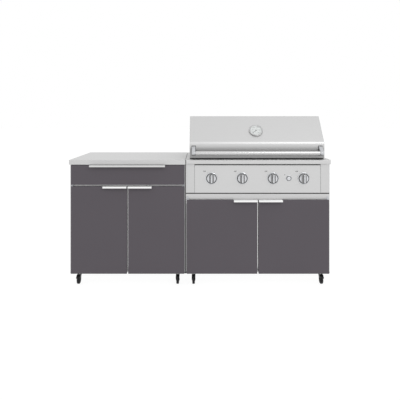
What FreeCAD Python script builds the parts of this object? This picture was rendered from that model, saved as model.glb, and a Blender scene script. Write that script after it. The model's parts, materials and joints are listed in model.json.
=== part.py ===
import FreeCAD, Part
import math
import os
import types

import Sketcher

# Outdoor kitchen island: a cupboard unit with a worktop and a drawer, beside a gas grill unit.
# The frame is in millimetres: X to the right, Y to the back, Z up. The origin is on the ground,
# in the middle of the overall width and depth. Depths are counted back from the plane of the doors.

SIZES = {
    # Cabinets
    "cupboard_width": 812.8,
    "grill_width": 1016.0,
    "worktop_depth": 609.6,
    "worktop_height": 880.0,
    "worktop_thickness": 33.0,
    "worktop_edge_radius": 2.0,
    "worktop_wall": 3.0,
    "worktop_return": 45.0,
    "end_overhang": 5.0,
    "seam_gap": 3.0,
    "cabinet_gap": 0.5,
    "rear_overhang": 6.0,
    "caster_height": 88.0,
    "front_setback": 20.0,
    "sheet": 1.5,
    "flange_width": 20.0,
    "floor_turnup": 20.0,
    "fit_gap": 0.3,
    "post_width": 30.0,
    "post_return": 18.0,
    "top_rail_height": 24.0,
    "middle_rail_height": 36.0,
    "middle_rail_lap": 8.0,
    "shelf_height": 380.0,
    "shelf_edge": 18.0,
    "shelf_setback": 70.0,
    "hose_port_radius": 20.0,
    # Doors and their pivots
    "door_thickness": 17.0,
    "door_sheet": 1.2,
    "door_drop": 4.0,
    "door_reveal": 9.0,
    "door_gap": 8.0,
    "pivot_inset": 7.0,
    "pivot_depth": 9.0,
    "pivot_radius": 2.5,
    "pivot_clearance": 0.05,
    "pivot_pin_length": 9.0,
    "pivot_plate": 2.5,
    "pivot_plate_width": 16.0,
    "pivot_plate_gap": 1.0,
    "pivot_plate_overhang": 7.0,
    "pivot_flange": 20.0,
    "pivot_foot_start": 25.0,
    "pivot_foot_end": 45.0,
    "pivot_block_height": 12.0,
    "pivot_block_width": 14.0,
    # Edge pulls
    "pull_reach": 25.0,
    "pull_lip": 13.0,
    "pull_sheet": 2.0,
    "pull_seat": 14.0,
    "door_pull_length": 167.0,
    "drawer_pull_length": 529.0,
    # Drawer
    "drawer_top_gap": 4.0,
    "drawer_height": 137.0,
    "drawer_gap": 11.0,
    "drawer_box_rise": 12.0,
    "drawer_box_height": 100.0,
    "drawer_box_depth": 480.0,
    "runner_width": 8.0,
    "runner_length": 470.0,
    "runner_setback": 4.0,
    "rail_height": 24.0,
    "rail_sheet": 2.0,
    "rail_length": 500.0,
    "rail_rise": 50.0,
    # Casters
    "wheel_radius": 32.0,
    "wheel_width": 18.0,
    "wheel_corner_radius": 5.0,
    "wheel_hub_radius": 13.0,
    "wheel_dish": 2.5,
    "axle_radius": 4.0,
    "axle_clearance": 0.05,
    "axle_nut_radius": 6.5,
    "axle_length": 26.0,
    "wheel_side_gap": 0.5,
    "fork_sheet": 2.0,
    "fork_leg_width": 26.0,
    "fork_gap_over_wheel": 4.0,
    "fork_foot": 9.0,
    "fork_cup_radius": 20.0,
    "kingpin_radius": 5.0,
    "caster_plate_size": 62.0,
    "caster_plate": 3.0,
    "swivel_gap": 0.4,
    "caster_inset": 56.0,
    "caster_front_depth": 35.0,
    "caster_rear_depth": 55.0,
    "caster_trail": 22.0,
    # Grill front
    "band_height": 73.0,
    "band_gap": 3.0,
    "band_lap": 29.0,
    "panel_height": 202.0,
    "panel_top_gap": 1.0,
    "stile_width": 63.5,
    "panel_return": 30.0,
    "panel_gap": 0.6,
    "trim_height": 31.0,
    "trim_depth": 27.0,
    "trim_radius": 8.0,
    "trim_wall": 3.0,
    "frame_sheet": 2.5,
    "frame_return": 30.0,
    "opening_side_margin": 43.0,
    "opening_rear_margin": 58.6,
    # Knobs and button
    "knob_spacing": 217.0,
    "knob_rise": 102.0,
    "knob_reach": 42.0,
    "knob_skirt_radius": 31.0,
    "knob_skirt_height": 13.0,
    "knob_back_gap": 1.5,
    "knob_cap_radius": 27.0,
    "knob_shoulder": 3.5,
    "knob_grip_length": 50.0,
    "knob_bore_depth": 25.0,
    "knob_grip_width": 14.0,
    "knob_grip_radius": 3.0,
    "bezel_radius": 43.0,
    "bezel_hole_radius": 33.0,
    "bezel_height": 7.0,
    "stem_radius": 4.0,
    "stem_clearance": 0.05,
    "button_offset": 111.5,
    "button_radius": 13.5,
    "button_proud": 9.0,
    "button_length": 26.0,
    "button_chamfer": 1.5,
    "button_ring_radius": 21.0,
    "button_ring_height": 4.0,
    # Burner box
    "firebox_side_gap": 10.0,
    "firebox_front_depth": 92.0,
    "firebox_rear_gap": 5.0,
    "firebox_height": 217.5,
    "firebox_rim": 8.0,
    "gutter_height": 26.0,
    "plate_ledge_rise": 40.0,
    "ledge_width": 12.0,
    "grease_hole_radius": 20.0,
    "burner_radius": 14.0,
    "burner_wall": 1.2,
    "burner_start_gap": 10.0,
    "burner_end_gap": 14.0,
    "heat_plate_width": 120.0,
    "heat_plate_rise": 30.0,
    "grate_thickness": 9.0,
    "grate_gap": 4.0,
    "grate_bar": 8.0,
    "grate_slot": 12.0,
    "grate_border": 12.0,
    "grate_front_lap": 14.0,
    "rack_rise": 75.0,
    "rack_side_gap": 43.5,
    "rack_depth": 110.0,
    "rack_rear_gap": 50.0,
    "rack_sheet": 5.0,
    "rack_leg": 6.0,
    "rack_slot": 14.0,
    "rack_rod": 5.0,
    "cup_length": 160.0,
    "cup_width": 120.0,
    "cup_height": 48.0,
    "cup_lip": 8.0,
    "cup_rail_length": 254.0,
    # Gas line
    "pipe_radius": 9.0,
    "pipe_overrun": 74.5,
    "pipe_depth": 62.0,
    "valve_width": 28.0,
    "valve_height": 34.0,
    "valve_rear_depth": 76.0,
    "nozzle_length": 18.0,
    "inlet_drop": 108.0,
    "inlet_radius": 7.9,
    "inlet_length": 20.0,
    "inlet_gap": 3.3,
    # Hood
    "hood_side_margin": 27.0,
    "hood_sheet": 1.5,
    "hood_cap": 3.0,
    "hood_gap": 8.0,
    "hood_front_depth": 51.0,
    "hood_front_height": 108.0,
    "brow_run": 156.0,
    "hood_height": 297.0,
    "hood_flat": 124.0,
    "hood_rear_margin": 28.6,
    "shoulder_rise": 44.0,
    "hood_rear_rise": 33.0,
    "cap_rear_rise": 6.0,
    "bend_radius": 40.0,
    "brow_radius": 18.0,
    "ridge_radius": 60.0,
    "hinge_inset": 15.0,
    "hinge_rise": 25.0,
    "hinge_pin_radius": 5.0,
    "hinge_clearance": 0.05,
    "hinge_plate": 4.0,
    "hinge_plate_gap": 1.0,
    "hinge_ear_radius": 10.0,
    "hinge_foot": 22.0,
    "hinge_foot_sheet": 3.0,
    # Hood handle
    "handle_radius": 13.5,
    "handle_wall": 1.5,
    "handle_reach": 50.0,
    "handle_rise": 40.5,
    "bracket_inset": 17.0,
    "bracket_width": 25.0,
    "bracket_rise": 46.0,
    "bracket_drop": 19.0,
    # Thermometer
    "thermometer_radius": 50.0,
    "thermometer_rise": 84.0,
    "thermometer_thickness": 10.0,
    "dial_radius": 42.0,
    "dial_recess": 5.0,
    "needle_length": 34.0,
    "needle_width": 4.0,
    "needle_thickness": 1.0,
    "needle_gap": 1.2,
    "needle_pin_radius": 2.0,
    "needle_pin_clearance": 0.05,
    "needle_hub_radius": 5.0,
}


class Length:
    """A length with its value in millimetres and the spreadsheet expression that gives it."""

    def __init__(self, value, text):
        self.value = value
        self.text = text

    def combine(self, other, sign, value):
        return Length(value, "(" + self.text + sign + expression(other) + ")")

    def __add__(self, other):
        return self.combine(other, " + ", self.value + number(other))

    def __sub__(self, other):
        return self.combine(other, " - ", self.value - number(other))

    def __mul__(self, other):
        return self.combine(other, " * ", self.value * number(other))

    def __truediv__(self, other):
        return self.combine(other, " / ", self.value / number(other))

    def __radd__(self, other):
        return Length(other, repr(other)) + self

    def __rsub__(self, other):
        return Length(other, repr(other)) - self

    def __rmul__(self, other):
        return self * other

    def __neg__(self):
        return self * -1


def number(length):
    return length.value if isinstance(length, Length) else float(length)


def expression(length):
    return length.text if isinstance(length, Length) else repr(length)


doc = FreeCAD.newDocument("outdoor_kitchen_island")
sheet_of_sizes = doc.addObject("Spreadsheet::Sheet", "Sizes")
for row, (alias, size) in enumerate(SIZES.items(), start=1):
    sheet_of_sizes.set("A" + str(row), alias)
    sheet_of_sizes.set("B" + str(row), str(size))
    sheet_of_sizes.setAlias("B" + str(row), alias)
doc.recompute()
d = types.SimpleNamespace(**{alias: Length(size, "Sizes." + alias) for alias, size in SIZES.items()})

NODES = []


def bind(thing, **lengths):
    for name, length in lengths.items():
        thing.setExpression(name, expression(length))


def place(thing, x, y, z):
    """Move a finished sub-part, keeping the turn that its Placement already has."""
    thing.Placement.Base = FreeCAD.Vector(number(x), number(y), number(z))
    for axis, length in (("x", x), ("y", y), ("z", z)):
        thing.setExpression("Placement.Base." + axis, expression(length))


def keep(thing, label):
    """Make a document object one of the exported sub-parts."""
    thing.Label = label
    NODES.append(thing)
    return thing


def new_body(name):
    return doc.addObject("PartDesign::Body", name)


def new_sketch(body, plane, offset):
    sketch = body.newObject("Sketcher::SketchObject", body.Name + "_sketch")
    support = next(item for item in body.Origin.OriginFeatures if item.Role == plane)
    sketch.AttachmentSupport = [(support, "")]
    sketch.MapMode = "FlatFace"
    sketch.setExpression("AttachmentOffset.Base.z", expression(offset))
    return sketch


def fix_point(sketch, geometry, position, point):
    """Tie one point of a sketch to the sketch's origin by two bound distances."""
    for kind, length in (("DistanceX", point[0]), ("DistanceY", point[1])):
        constraint = Sketcher.Constraint(kind, -1, 1, geometry, position, number(length))
        index = sketch.addConstraint(constraint)
        sketch.setExpression("Constraints[" + str(index) + "]", expression(length))


def draw_polygon(sketch, points):
    """A closed outline of straight edges through the given points."""
    first = sketch.GeometryCount
    corners = [FreeCAD.Vector(number(x), number(y), 0) for x, y in points]
    count = len(corners)
    for index in range(count):
        sketch.addGeometry(Part.LineSegment(corners[index], corners[(index + 1) % count]), False)
    for index in range(count):
        following = first + (index + 1) % count
        sketch.addConstraint(Sketcher.Constraint("Coincident", first + index, 2, following, 1))
    for index, point in enumerate(points):
        fix_point(sketch, first + index, 1, point)


def draw_circle(sketch, centre, radius):
    middle = FreeCAD.Vector(number(centre[0]), number(centre[1]), 0)
    circle = Part.Circle(middle, FreeCAD.Vector(0, 0, 1), number(radius))
    geometry = sketch.addGeometry(circle, False)
    fix_point(sketch, geometry, 3, centre)
    index = sketch.addConstraint(Sketcher.Constraint("Radius", geometry, number(radius)))
    sketch.setExpression("Constraints[" + str(index) + "]", expression(radius))


def draw(sketch, outlines):
    """Draw polygons, given as lists of points, and circles, given as (centre, radius)."""
    for outline in outlines:
        if isinstance(outline, tuple):
            draw_circle(sketch, outline[0], outline[1])
        else:
            draw_polygon(sketch, outline)


def span_of(plane, ends):
    """A span along the row axis as a span along the plane's own normal."""
    if plane == "XZ_Plane":
        return -ends[1], -ends[0]
    return ends


def add(body, plane, ends, *outlines):
    """Pad outlines on an origin plane between two places along the plane's axis."""
    start, end = span_of(plane, ends)
    sketch = new_sketch(body, plane, start)
    draw(sketch, outlines)
    pad = body.newObject("PartDesign::Pad", body.Name + "_pad")
    pad.Profile = sketch
    bind(pad, Length=end - start)
    return pad


def remove(body, plane, ends, *outlines):
    """Cut outlines out of a body between two places along the plane's axis."""
    start, end = span_of(plane, ends)
    sketch = new_sketch(body, plane, end)
    draw(sketch, outlines)
    pocket = body.newObject("PartDesign::Pocket", body.Name + "_pocket")
    pocket.Profile = sketch
    bind(pocket, Length=end - start)
    return pocket


def turn(body, plane, axis, outline):
    """Revolve an outline about the horizontal or vertical axis of its sketch."""
    sketch = new_sketch(body, plane, 0.0)
    draw(sketch, [outline])
    revolution = body.newObject("PartDesign::Revolution", body.Name + "_turning")
    revolution.Profile = sketch
    revolution.ReferenceAxis = (sketch, [axis])
    revolution.Angle = 360.0
    return revolution


def round_edges(body, radius, chosen):
    """Fillet the edges of a body's last feature that the test function chooses."""
    doc.recompute()
    last = body.Tip
    names = []
    for index, edge in enumerate(last.Shape.Edges, start=1):
        if chosen(edge):
            names.append("Edge" + str(index))
    fillet = body.newObject("PartDesign::Fillet", body.Name + "_fillet")
    fillet.Base = (last, names)
    bind(fillet, Radius=radius)
    return fillet


def runs_along(edge, axis):
    if not isinstance(edge.Curve, Part.Line):
        return False
    direction = edge.Curve.Direction
    return abs(abs(getattr(direction, axis)) - 1.0) < 1e-6


def middle_of(edge):
    return edge.CenterOfMass


def near(value, length):
    return abs(value - number(length)) < 0.01


def rectangle(x, y):
    return [(x[0], y[0]), (x[1], y[0]), (x[1], y[1]), (x[0], y[1])]


def box(name, x, y, z):
    """A plain block between two places along each axis."""
    block = doc.addObject("Part::Box", name)
    bind(block, Length=x[1] - x[0], Width=y[1] - y[0], Height=z[1] - z[0])
    place(block, x[0], y[0], z[0])
    return block


TURN_TO_AXIS = {
    "x": FreeCAD.Rotation(FreeCAD.Vector(0, 1, 0), 90),
    "y": FreeCAD.Rotation(FreeCAD.Vector(1, 0, 0), -90),
    "z": FreeCAD.Rotation(),
}


def cylinder(name, axis, radius, start, length):
    """A round bar from a start point along one axis."""
    bar = doc.addObject("Part::Cylinder", name)
    bar.Placement = FreeCAD.Placement(FreeCAD.Vector(), TURN_TO_AXIS[axis])
    bind(bar, Radius=radius, Height=length)
    place(bar, *start)
    return bar


def ball(name, radius, centre):
    sphere = doc.addObject("Part::Sphere", name)
    bind(sphere, Radius=radius)
    place(sphere, *centre)
    return sphere


def fuse(name, pieces):
    union = doc.addObject("Part::MultiFuse", name)
    union.Shapes = pieces
    return union


def group(label, pieces):
    """Export separate solids of one kind together, as one sub-part."""
    compound = doc.addObject("Part::Compound", label)
    compound.Links = pieces
    return keep(compound, label)


# Counts and angles
KNOB_STEPS = (-1.5, -0.5, 0.5, 1.5)
GRATE_COUNT = 3
NEEDLE_REST_ANGLE = 135.0

# Places that the pieces share
left_end = -(d.cupboard_width + d.grill_width) / 2
right_end = (d.cupboard_width + d.grill_width) / 2
joint = (d.cupboard_width - d.grill_width) / 2
front = (d.pull_reach - d.worktop_depth) / 2
back = front + d.worktop_depth
cabinet_back = back - d.rear_overhang
carcass_front = front + d.front_setback
cupboard_right = joint - d.cabinet_gap / 2
grill_left = joint + d.cabinet_gap / 2
grill_middle = (joint + right_end) / 2
cupboard_top = d.worktop_height - d.worktop_thickness
grill_top = d.worktop_height - d.trim_height
frame_under = d.worktop_height - d.frame_sheet
floor_top = d.caster_height + d.sheet
door_bottom = d.caster_height - d.door_drop
drawer_top = cupboard_top - d.drawer_top_gap
drawer_bottom = drawer_top - d.drawer_height
drawer_box_bottom = drawer_bottom + d.drawer_box_rise
cupboard_door_top = drawer_bottom - d.drawer_gap
panel_top = grill_top - d.panel_top_gap
panel_bottom = panel_top - d.panel_height
panel_left = joint + d.stile_width
panel_right = right_end - d.stile_width
band_top = panel_bottom - d.band_gap
band_bottom = band_top - d.band_height
grill_door_top = band_bottom + d.band_lap
knob_height = panel_bottom + d.knob_rise
button_x = grill_middle + d.knob_spacing * KNOB_STEPS[2] + d.button_offset
plate_ledge_top = knob_height + d.plate_ledge_rise
half_opening = d.grill_width / 2 - d.opening_side_margin
opening_rear = cabinet_back - d.opening_rear_margin
half_tub = half_opening - d.firebox_side_gap
inner_half_width = half_tub - d.sheet
tub_front = front + d.firebox_front_depth
tub_rear = opening_rear - d.firebox_rear_gap
tub_bottom = frame_under - d.firebox_height
tub_middle = (tub_front + tub_rear) / 2
cup_top = tub_bottom - d.fit_gap
gutter_low = frame_under - d.gutter_height
gutter_floor = gutter_low + d.sheet
half_hood = d.grill_width / 2 - d.hood_side_margin
hood_bottom = d.worktop_height + d.hood_gap
hood_top = hood_bottom + d.hood_height
hood_front = front + d.hood_front_depth
hood_rear = cabinet_back - d.hood_rear_margin
bend = (hood_front, hood_bottom + d.hood_front_height)
hinge = (hood_rear - d.hinge_inset, d.worktop_height + d.hinge_rise)
half_pipe = d.knob_spacing * KNOB_STEPS[-1] + d.pipe_overrun
inlet_x = grill_middle + half_pipe - d.pipe_radius
inlet_z = knob_height - d.inlet_drop


def at_depth(depth):
    return front + depth


def inset(span, wall):
    """A span with a wall's thickness taken off both ends."""
    return (span[0] + wall, span[1] - wall)


def middle_span(half_width):
    """A span along X, centred on the grill."""
    return (grill_middle - half_width, grill_middle + half_width)


def side_panel(name, outer, inward, panel_front, top):
    """A cabinet side with its front and rear flanges folded inward (inward is 1 or -1)."""
    body = new_body(name)
    web = outer + d.sheet * inward
    lip = outer + d.flange_width * inward
    profile = [
        (outer, panel_front),
        (lip, panel_front),
        (lip, panel_front + d.sheet),
        (web, panel_front + d.sheet),
        (web, cabinet_back - d.sheet),
        (lip, cabinet_back - d.sheet),
        (lip, cabinet_back),
        (outer, cabinet_back),
    ]
    add(body, "XY_Plane", (d.caster_height, top), profile)
    return body


def floor_pan(label, left, right, panel_front):
    """A cabinet floor whose two side edges are folded up against the cabinet sides."""
    body = keep(new_body(label), label)
    low = d.caster_height
    high = d.caster_height + d.floor_turnup
    profile = [
        (left, low),
        (right, low),
        (right, high),
        (right - d.sheet, high),
        (right - d.sheet, floor_top),
        (left + d.sheet, floor_top),
        (left + d.sheet, high),
        (left, high),
    ]
    add(body, "XZ_Plane", (panel_front + d.sheet, cabinet_back - d.sheet * 2), profile)
    return body


def channel(name, x, z, open_up=False):
    """A front rail: a face on the carcass front with a return folded back from one edge."""
    body = new_body(name)
    face = (carcass_front, carcass_front + d.sheet)
    depth = carcass_front + d.post_return
    shelf = (z[0], z[0] + d.sheet) if open_up else (z[1] - d.sheet, z[1])
    add(body, "XZ_Plane", face, rectangle(x, z))
    add(body, "XZ_Plane", (carcass_front, depth), rectangle(x, shelf))
    return body


def post(name, middle, z):
    """A centre post behind the gap between two doors, with both edges folded back."""
    body = new_body(name)
    left = middle - d.post_width / 2
    right = middle + d.post_width / 2
    rear = carcass_front + d.post_return
    profile = [
        (left, carcass_front),
        (right, carcass_front),
        (right, rear),
        (right - d.sheet, rear),
        (right - d.sheet, carcass_front + d.sheet),
        (left + d.sheet, carcass_front + d.sheet),
        (left + d.sheet, rear),
        (left, rear),
    ]
    add(body, "XY_Plane", z, profile)
    return body


def make_cupboard():
    """The left cabinet, which carries the worktop, the drawer and two doors."""
    inner_left = left_end + d.sheet + d.fit_gap
    inner_right = cupboard_right - d.sheet - d.fit_gap
    group("cupboard_sides", [
        side_panel("cupboard_left_side", left_end, 1, carcass_front, cupboard_top),
        side_panel("cupboard_right_side", cupboard_right, -1, carcass_front, cupboard_top),
    ])
    floor_pan("cupboard_floor", inner_left, inner_right, carcass_front)
    back_panel = box(
        "cupboard_back",
        (inner_left, inner_right),
        (cabinet_back - d.sheet * 2, cabinet_back - d.sheet),
        (d.caster_height, cupboard_top),
    )
    keep(back_panel, "cupboard_back")

    lips = (left_end + d.flange_width, cupboard_right - d.flange_width)
    rail_top = drawer_bottom + d.middle_rail_lap
    rail_bottom = rail_top - d.middle_rail_height
    rear_rail_front = cabinet_back - d.sheet * 2 - d.post_return
    rear_rail = box(
        "cupboard_rear_rail",
        (inner_left, inner_right),
        (rear_rail_front, cabinet_back - d.sheet * 2),
        (cupboard_top - d.sheet, cupboard_top),
    )
    middle = (left_end + cupboard_right) / 2
    group("cupboard_rails", [
        channel("cupboard_top_rail", lips, (cupboard_top - d.top_rail_height, cupboard_top)),
        channel("cupboard_middle_rail", lips, (rail_bottom, rail_top), open_up=True),
        post("cupboard_post", middle, (floor_top, rail_bottom)),
        rear_rail,
    ])

    shelf = keep(new_body("cupboard_shelf"), "cupboard_shelf")
    shelf_low = d.shelf_height - d.shelf_edge
    shelf_under = d.shelf_height - d.sheet
    shelf_profile = [
        (inner_left, shelf_low),
        (inner_left + d.sheet, shelf_low),
        (inner_left + d.sheet, shelf_under),
        (inner_right - d.sheet, shelf_under),
        (inner_right - d.sheet, shelf_low),
        (inner_right, shelf_low),
        (inner_right, d.shelf_height),
        (inner_left, d.shelf_height),
    ]
    shelf_span = (at_depth(d.shelf_setback), cabinet_back - d.sheet * 2 - d.fit_gap)
    add(shelf, "XZ_Plane", shelf_span, shelf_profile)


def make_worktop():
    """The folded stainless top, hollow, with its edges turned down and back under it."""
    body = keep(new_body("worktop"), "worktop")
    x = (left_end - d.end_overhang, joint - d.seam_gap / 2)
    y = (front, back)
    z = (d.worktop_height - d.worktop_thickness, d.worktop_height)
    add(body, "XY_Plane", z, rectangle(x, y))
    hollow = rectangle(inset(x, d.worktop_wall), inset(y, d.worktop_wall))
    remove(body, "XY_Plane", (z[0] + d.sheet, z[1] - d.sheet), hollow)
    mouth = rectangle(inset(x, d.worktop_return), inset(y, d.worktop_return))
    remove(body, "XY_Plane", (z[0], z[0] + d.sheet), mouth)

    def outer_top(edge):
        flat = runs_along(edge, "x") or runs_along(edge, "y")
        return flat and near(middle_of(edge).z, d.worktop_height)

    round_edges(body, d.worktop_edge_radius, outer_top)


def make_grill_cabinet():
    """The right cabinet, open at the top for the burner box."""
    panel_front = carcass_front + d.sheet
    inner_left = grill_left + d.sheet + d.fit_gap
    inner_right = right_end - d.sheet - d.fit_gap
    group("grill_cabinet_sides", [
        side_panel("grill_cabinet_left_side", grill_left, 1, panel_front, grill_top),
        side_panel("grill_cabinet_right_side", right_end, -1, panel_front, grill_top),
    ])
    floor_pan("grill_cabinet_floor", inner_left, inner_right, panel_front)

    back_panel = keep(new_body("grill_cabinet_back"), "grill_cabinet_back")
    back_span = (cabinet_back - d.sheet * 2, cabinet_back - d.sheet)
    outline = rectangle((inner_left, inner_right), (d.caster_height, grill_top))
    add(back_panel, "XZ_Plane", back_span, outline)
    remove(back_panel, "XZ_Plane", back_span, ((inlet_x, inlet_z), d.hose_port_radius))

    face = (carcass_front, carcass_front + d.sheet)
    stile_z = (panel_bottom, panel_top)
    group("grill_face_frame", [
        box("grill_left_stile", (grill_left, panel_left - d.panel_gap), face, stile_z),
        box("grill_right_stile", (panel_right + d.panel_gap, right_end), face, stile_z),
        box("grill_band", (grill_left, right_end), face, (band_bottom, band_top)),
        post("grill_post", grill_middle, (floor_top, band_bottom)),
    ])


def pan(label, x, z):
    """A folded front panel: a face in the plane of the doors with four edges turned back."""
    body = keep(new_body(label), label)
    rear = front + d.door_thickness
    add(body, "XZ_Plane", (front, rear), rectangle(x, z))
    inner = rectangle(inset(x, d.door_sheet), inset(z, d.door_sheet))
    remove(body, "XZ_Plane", (front + d.door_sheet, rear), inner)
    return body


def pull(label, x, top):
    """An edge pull: an angle that lies on a panel's top edge and turns down in front of it."""
    body = keep(new_body(label), label)
    tip = front - d.pull_reach
    seat = front + d.pull_seat
    high = top + d.pull_sheet
    profile = [
        (seat, top),
        (seat, high),
        (tip, high),
        (tip, high - d.pull_lip),
        (tip + d.pull_sheet, high - d.pull_lip),
        (tip + d.pull_sheet, top),
    ]
    add(body, "YZ_Plane", x, profile)


def pivot_bracket(name, pivot_x, top):
    """A door pivot: a small folded plate with a pin, above a door or (top is None) below it."""
    body = new_body(name)
    pivot_y = at_depth(d.pivot_depth)
    x = (pivot_x - d.pivot_plate_width / 2, pivot_x + d.pivot_plate_width / 2)
    tip = pivot_y - d.pivot_plate_overhang
    if top is None:
        high = door_bottom - d.pivot_plate_gap
        low = high - d.pivot_plate
        foot_start = at_depth(d.pivot_foot_start)
        foot_end = at_depth(d.pivot_foot_end)
        profile = [
            (tip, low),
            (foot_end, low),
            (foot_end, d.caster_height),
            (foot_start, d.caster_height),
            (foot_start, high),
            (tip, high),
        ]
        pin = (high, door_bottom + d.pivot_pin_length)
    else:
        low = top + d.pivot_plate_gap
        high = low + d.pivot_plate
        profile = [
            (tip, low),
            (carcass_front, low),
            (carcass_front, low + d.pivot_flange),
            (carcass_front - d.pivot_plate, low + d.pivot_flange),
            (carcass_front - d.pivot_plate, high),
            (tip, high),
        ]
        pin = (top - d.pivot_pin_length, low)
    add(body, "YZ_Plane", x, profile)
    add(body, "XY_Plane", pin, ((pivot_x, pivot_y), d.pivot_radius))
    return body


def door(label, outer, free, inward, top):
    """A door with its pivot blocks. It turns near its outer edge; inward is 1 or -1."""
    x = (outer, free) if inward > 0 else (free, outer)
    body = pan(label, x, (door_bottom, top))
    pivot_x = outer + d.pivot_inset * inward
    pivot_y = at_depth(d.pivot_depth)
    wall = outer + d.door_sheet * inward
    block_end = outer + d.pivot_block_width * inward
    block_y = (front + d.door_sheet, front + d.door_thickness)
    bore_radius = d.pivot_radius + d.pivot_clearance
    low_block = (door_bottom + d.door_sheet, door_bottom + d.pivot_block_height)
    high_block = (top - d.pivot_block_height, top - d.door_sheet)
    for block_z in (low_block, high_block):
        add(body, "XZ_Plane", block_y, rectangle((wall, block_end), block_z))
    for bore_z in ((door_bottom, low_block[1]), (high_block[0], top)):
        remove(body, "XY_Plane", bore_z, ((pivot_x, pivot_y), bore_radius))
    pull_end = free - d.door_pull_length * inward
    pull_x = (pull_end, free) if inward > 0 else (free, pull_end)
    pull(label + "_pull", pull_x, top)
    return [
        pivot_bracket(label + "_top_pivot", pivot_x, top),
        pivot_bracket(label + "_bottom_pivot", pivot_x, None),
    ]


def make_doors():
    cupboard_middle = (left_end + cupboard_right) / 2
    grill_doors_middle = (grill_left + right_end) / 2
    half_gap = d.door_gap / 2
    pivots = []
    for unit, left, right, middle, top in (
        ("cupboard", left_end, cupboard_right, cupboard_middle, cupboard_door_top),
        ("grill", grill_left, right_end, grill_doors_middle, grill_door_top),
    ):
        pivots += door(unit + "_left_door", left + d.door_reveal, middle - half_gap, 1, top)
        pivots += door(unit + "_right_door", right - d.door_reveal, middle + half_gap, -1, top)
    group("door_pivots", pivots)


def make_drawer():
    x = (left_end + d.door_reveal, cupboard_right - d.door_reveal)
    pan("drawer_front", x, (drawer_bottom, drawer_top))
    middle = (left_end + cupboard_right) / 2
    half_pull = d.drawer_pull_length / 2
    pull("drawer_pull", (middle - half_pull, middle + half_pull), drawer_top)

    side_space = d.flange_width + d.fit_gap + d.runner_width
    box_x = (left_end + side_space, cupboard_right - side_space)
    box_y = (front + d.door_thickness, front + d.door_thickness + d.drawer_box_depth)
    box_z = (drawer_box_bottom, drawer_box_bottom + d.drawer_box_height)
    body = keep(new_body("drawer_box"), "drawer_box")
    add(body, "XY_Plane", box_z, rectangle(box_x, box_y))
    inner = rectangle(inset(box_x, d.door_sheet), inset(box_y, d.door_sheet))
    remove(body, "XY_Plane", (box_z[0] + d.door_sheet, box_z[1]), inner)

    rail_middle = drawer_box_bottom + d.rail_rise
    rail_z = (rail_middle - d.rail_height / 2, rail_middle + d.rail_height / 2)
    runner_z = (rail_z[0] + d.rail_sheet + d.fit_gap, rail_z[1] - d.rail_sheet - d.fit_gap)
    rail_start = carcass_front + d.sheet
    runner_start = carcass_front + d.runner_setback
    runner_y = (runner_start, runner_start + d.runner_length)
    runners = []
    rails = []
    for side, outer, inward, box_side in (
        ("left", left_end, 1, box_x[0]),
        ("right", cupboard_right, -1, box_x[1]),
    ):
        runner_outer = box_side - d.runner_width * inward
        runner_x = (runner_outer, box_side) if inward > 0 else (box_side, runner_outer)
        runners.append(box("drawer_" + side + "_runner", runner_x, runner_y, runner_z))
        web = outer + d.sheet * inward
        web_face = web + d.rail_sheet * inward
        lip = box_side - d.fit_gap * inward
        profile = [
            (web, rail_z[0]),
            (lip, rail_z[0]),
            (lip, rail_z[0] + d.rail_sheet),
            (web_face, rail_z[0] + d.rail_sheet),
            (web_face, rail_z[1] - d.rail_sheet),
            (lip, rail_z[1] - d.rail_sheet),
            (lip, rail_z[1]),
            (web, rail_z[1]),
        ]
        rail = new_body("drawer_" + side + "_rail")
        add(rail, "XZ_Plane", (rail_start, rail_start + d.rail_length), profile)
        rails.append(rail)
    group("drawer_runners", runners)
    group("drawer_slide_rails", rails)


def make_top_frame():
    """The grill's top frame: a hollow folded ring round the burner box, with a rounded nose."""
    body = keep(new_body("grill_top_frame"), "grill_top_frame")
    x = (joint + d.seam_gap / 2, right_end + d.end_overhang)
    y = (front, cabinet_back)
    z = (grill_top, d.worktop_height)
    nose_rear = at_depth(d.trim_depth)
    add(body, "XY_Plane", z, rectangle(x, y))

    def nose_edge(edge):
        return near(middle_of(edge).y, front)

    round_edges(body, d.trim_radius, nose_edge)
    hollow = rectangle(inset(x, d.trim_wall), inset(y, d.trim_wall))
    remove(body, "XY_Plane", (z[0] + d.trim_wall, frame_under), hollow)
    opening_x = middle_span(half_opening)
    opening_y = (nose_rear, opening_rear)
    remove(body, "XY_Plane", (frame_under, z[1]), rectangle(opening_x, opening_y))
    mouth_y = (nose_rear, y[1] - d.frame_return)
    mouth = rectangle(inset(x, d.frame_return), mouth_y)
    remove(body, "XY_Plane", (z[0], z[0] + d.trim_wall), mouth)


def knob_places():
    return [grill_middle + d.knob_spacing * step for step in KNOB_STEPS]


def make_control_panel():
    body = keep(new_body("control_panel"), "control_panel")
    x = (panel_left, panel_right)
    z = (panel_bottom, panel_top)
    face_rear = carcass_front + d.sheet
    rear = carcass_front + d.panel_return
    add(body, "XZ_Plane", (carcass_front, rear), rectangle(x, z))
    remove(body, "XZ_Plane", (face_rear, rear), rectangle(inset(x, d.sheet), inset(z, d.sheet)))
    stem_hole = d.stem_radius + d.fit_gap
    holes = [((place_x, knob_height), stem_hole) for place_x in knob_places()]
    button_hole = ((button_x, knob_height), d.button_radius + d.fit_gap)
    remove(body, "XZ_Plane", (carcass_front, face_rear), *holes, button_hole)


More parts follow.
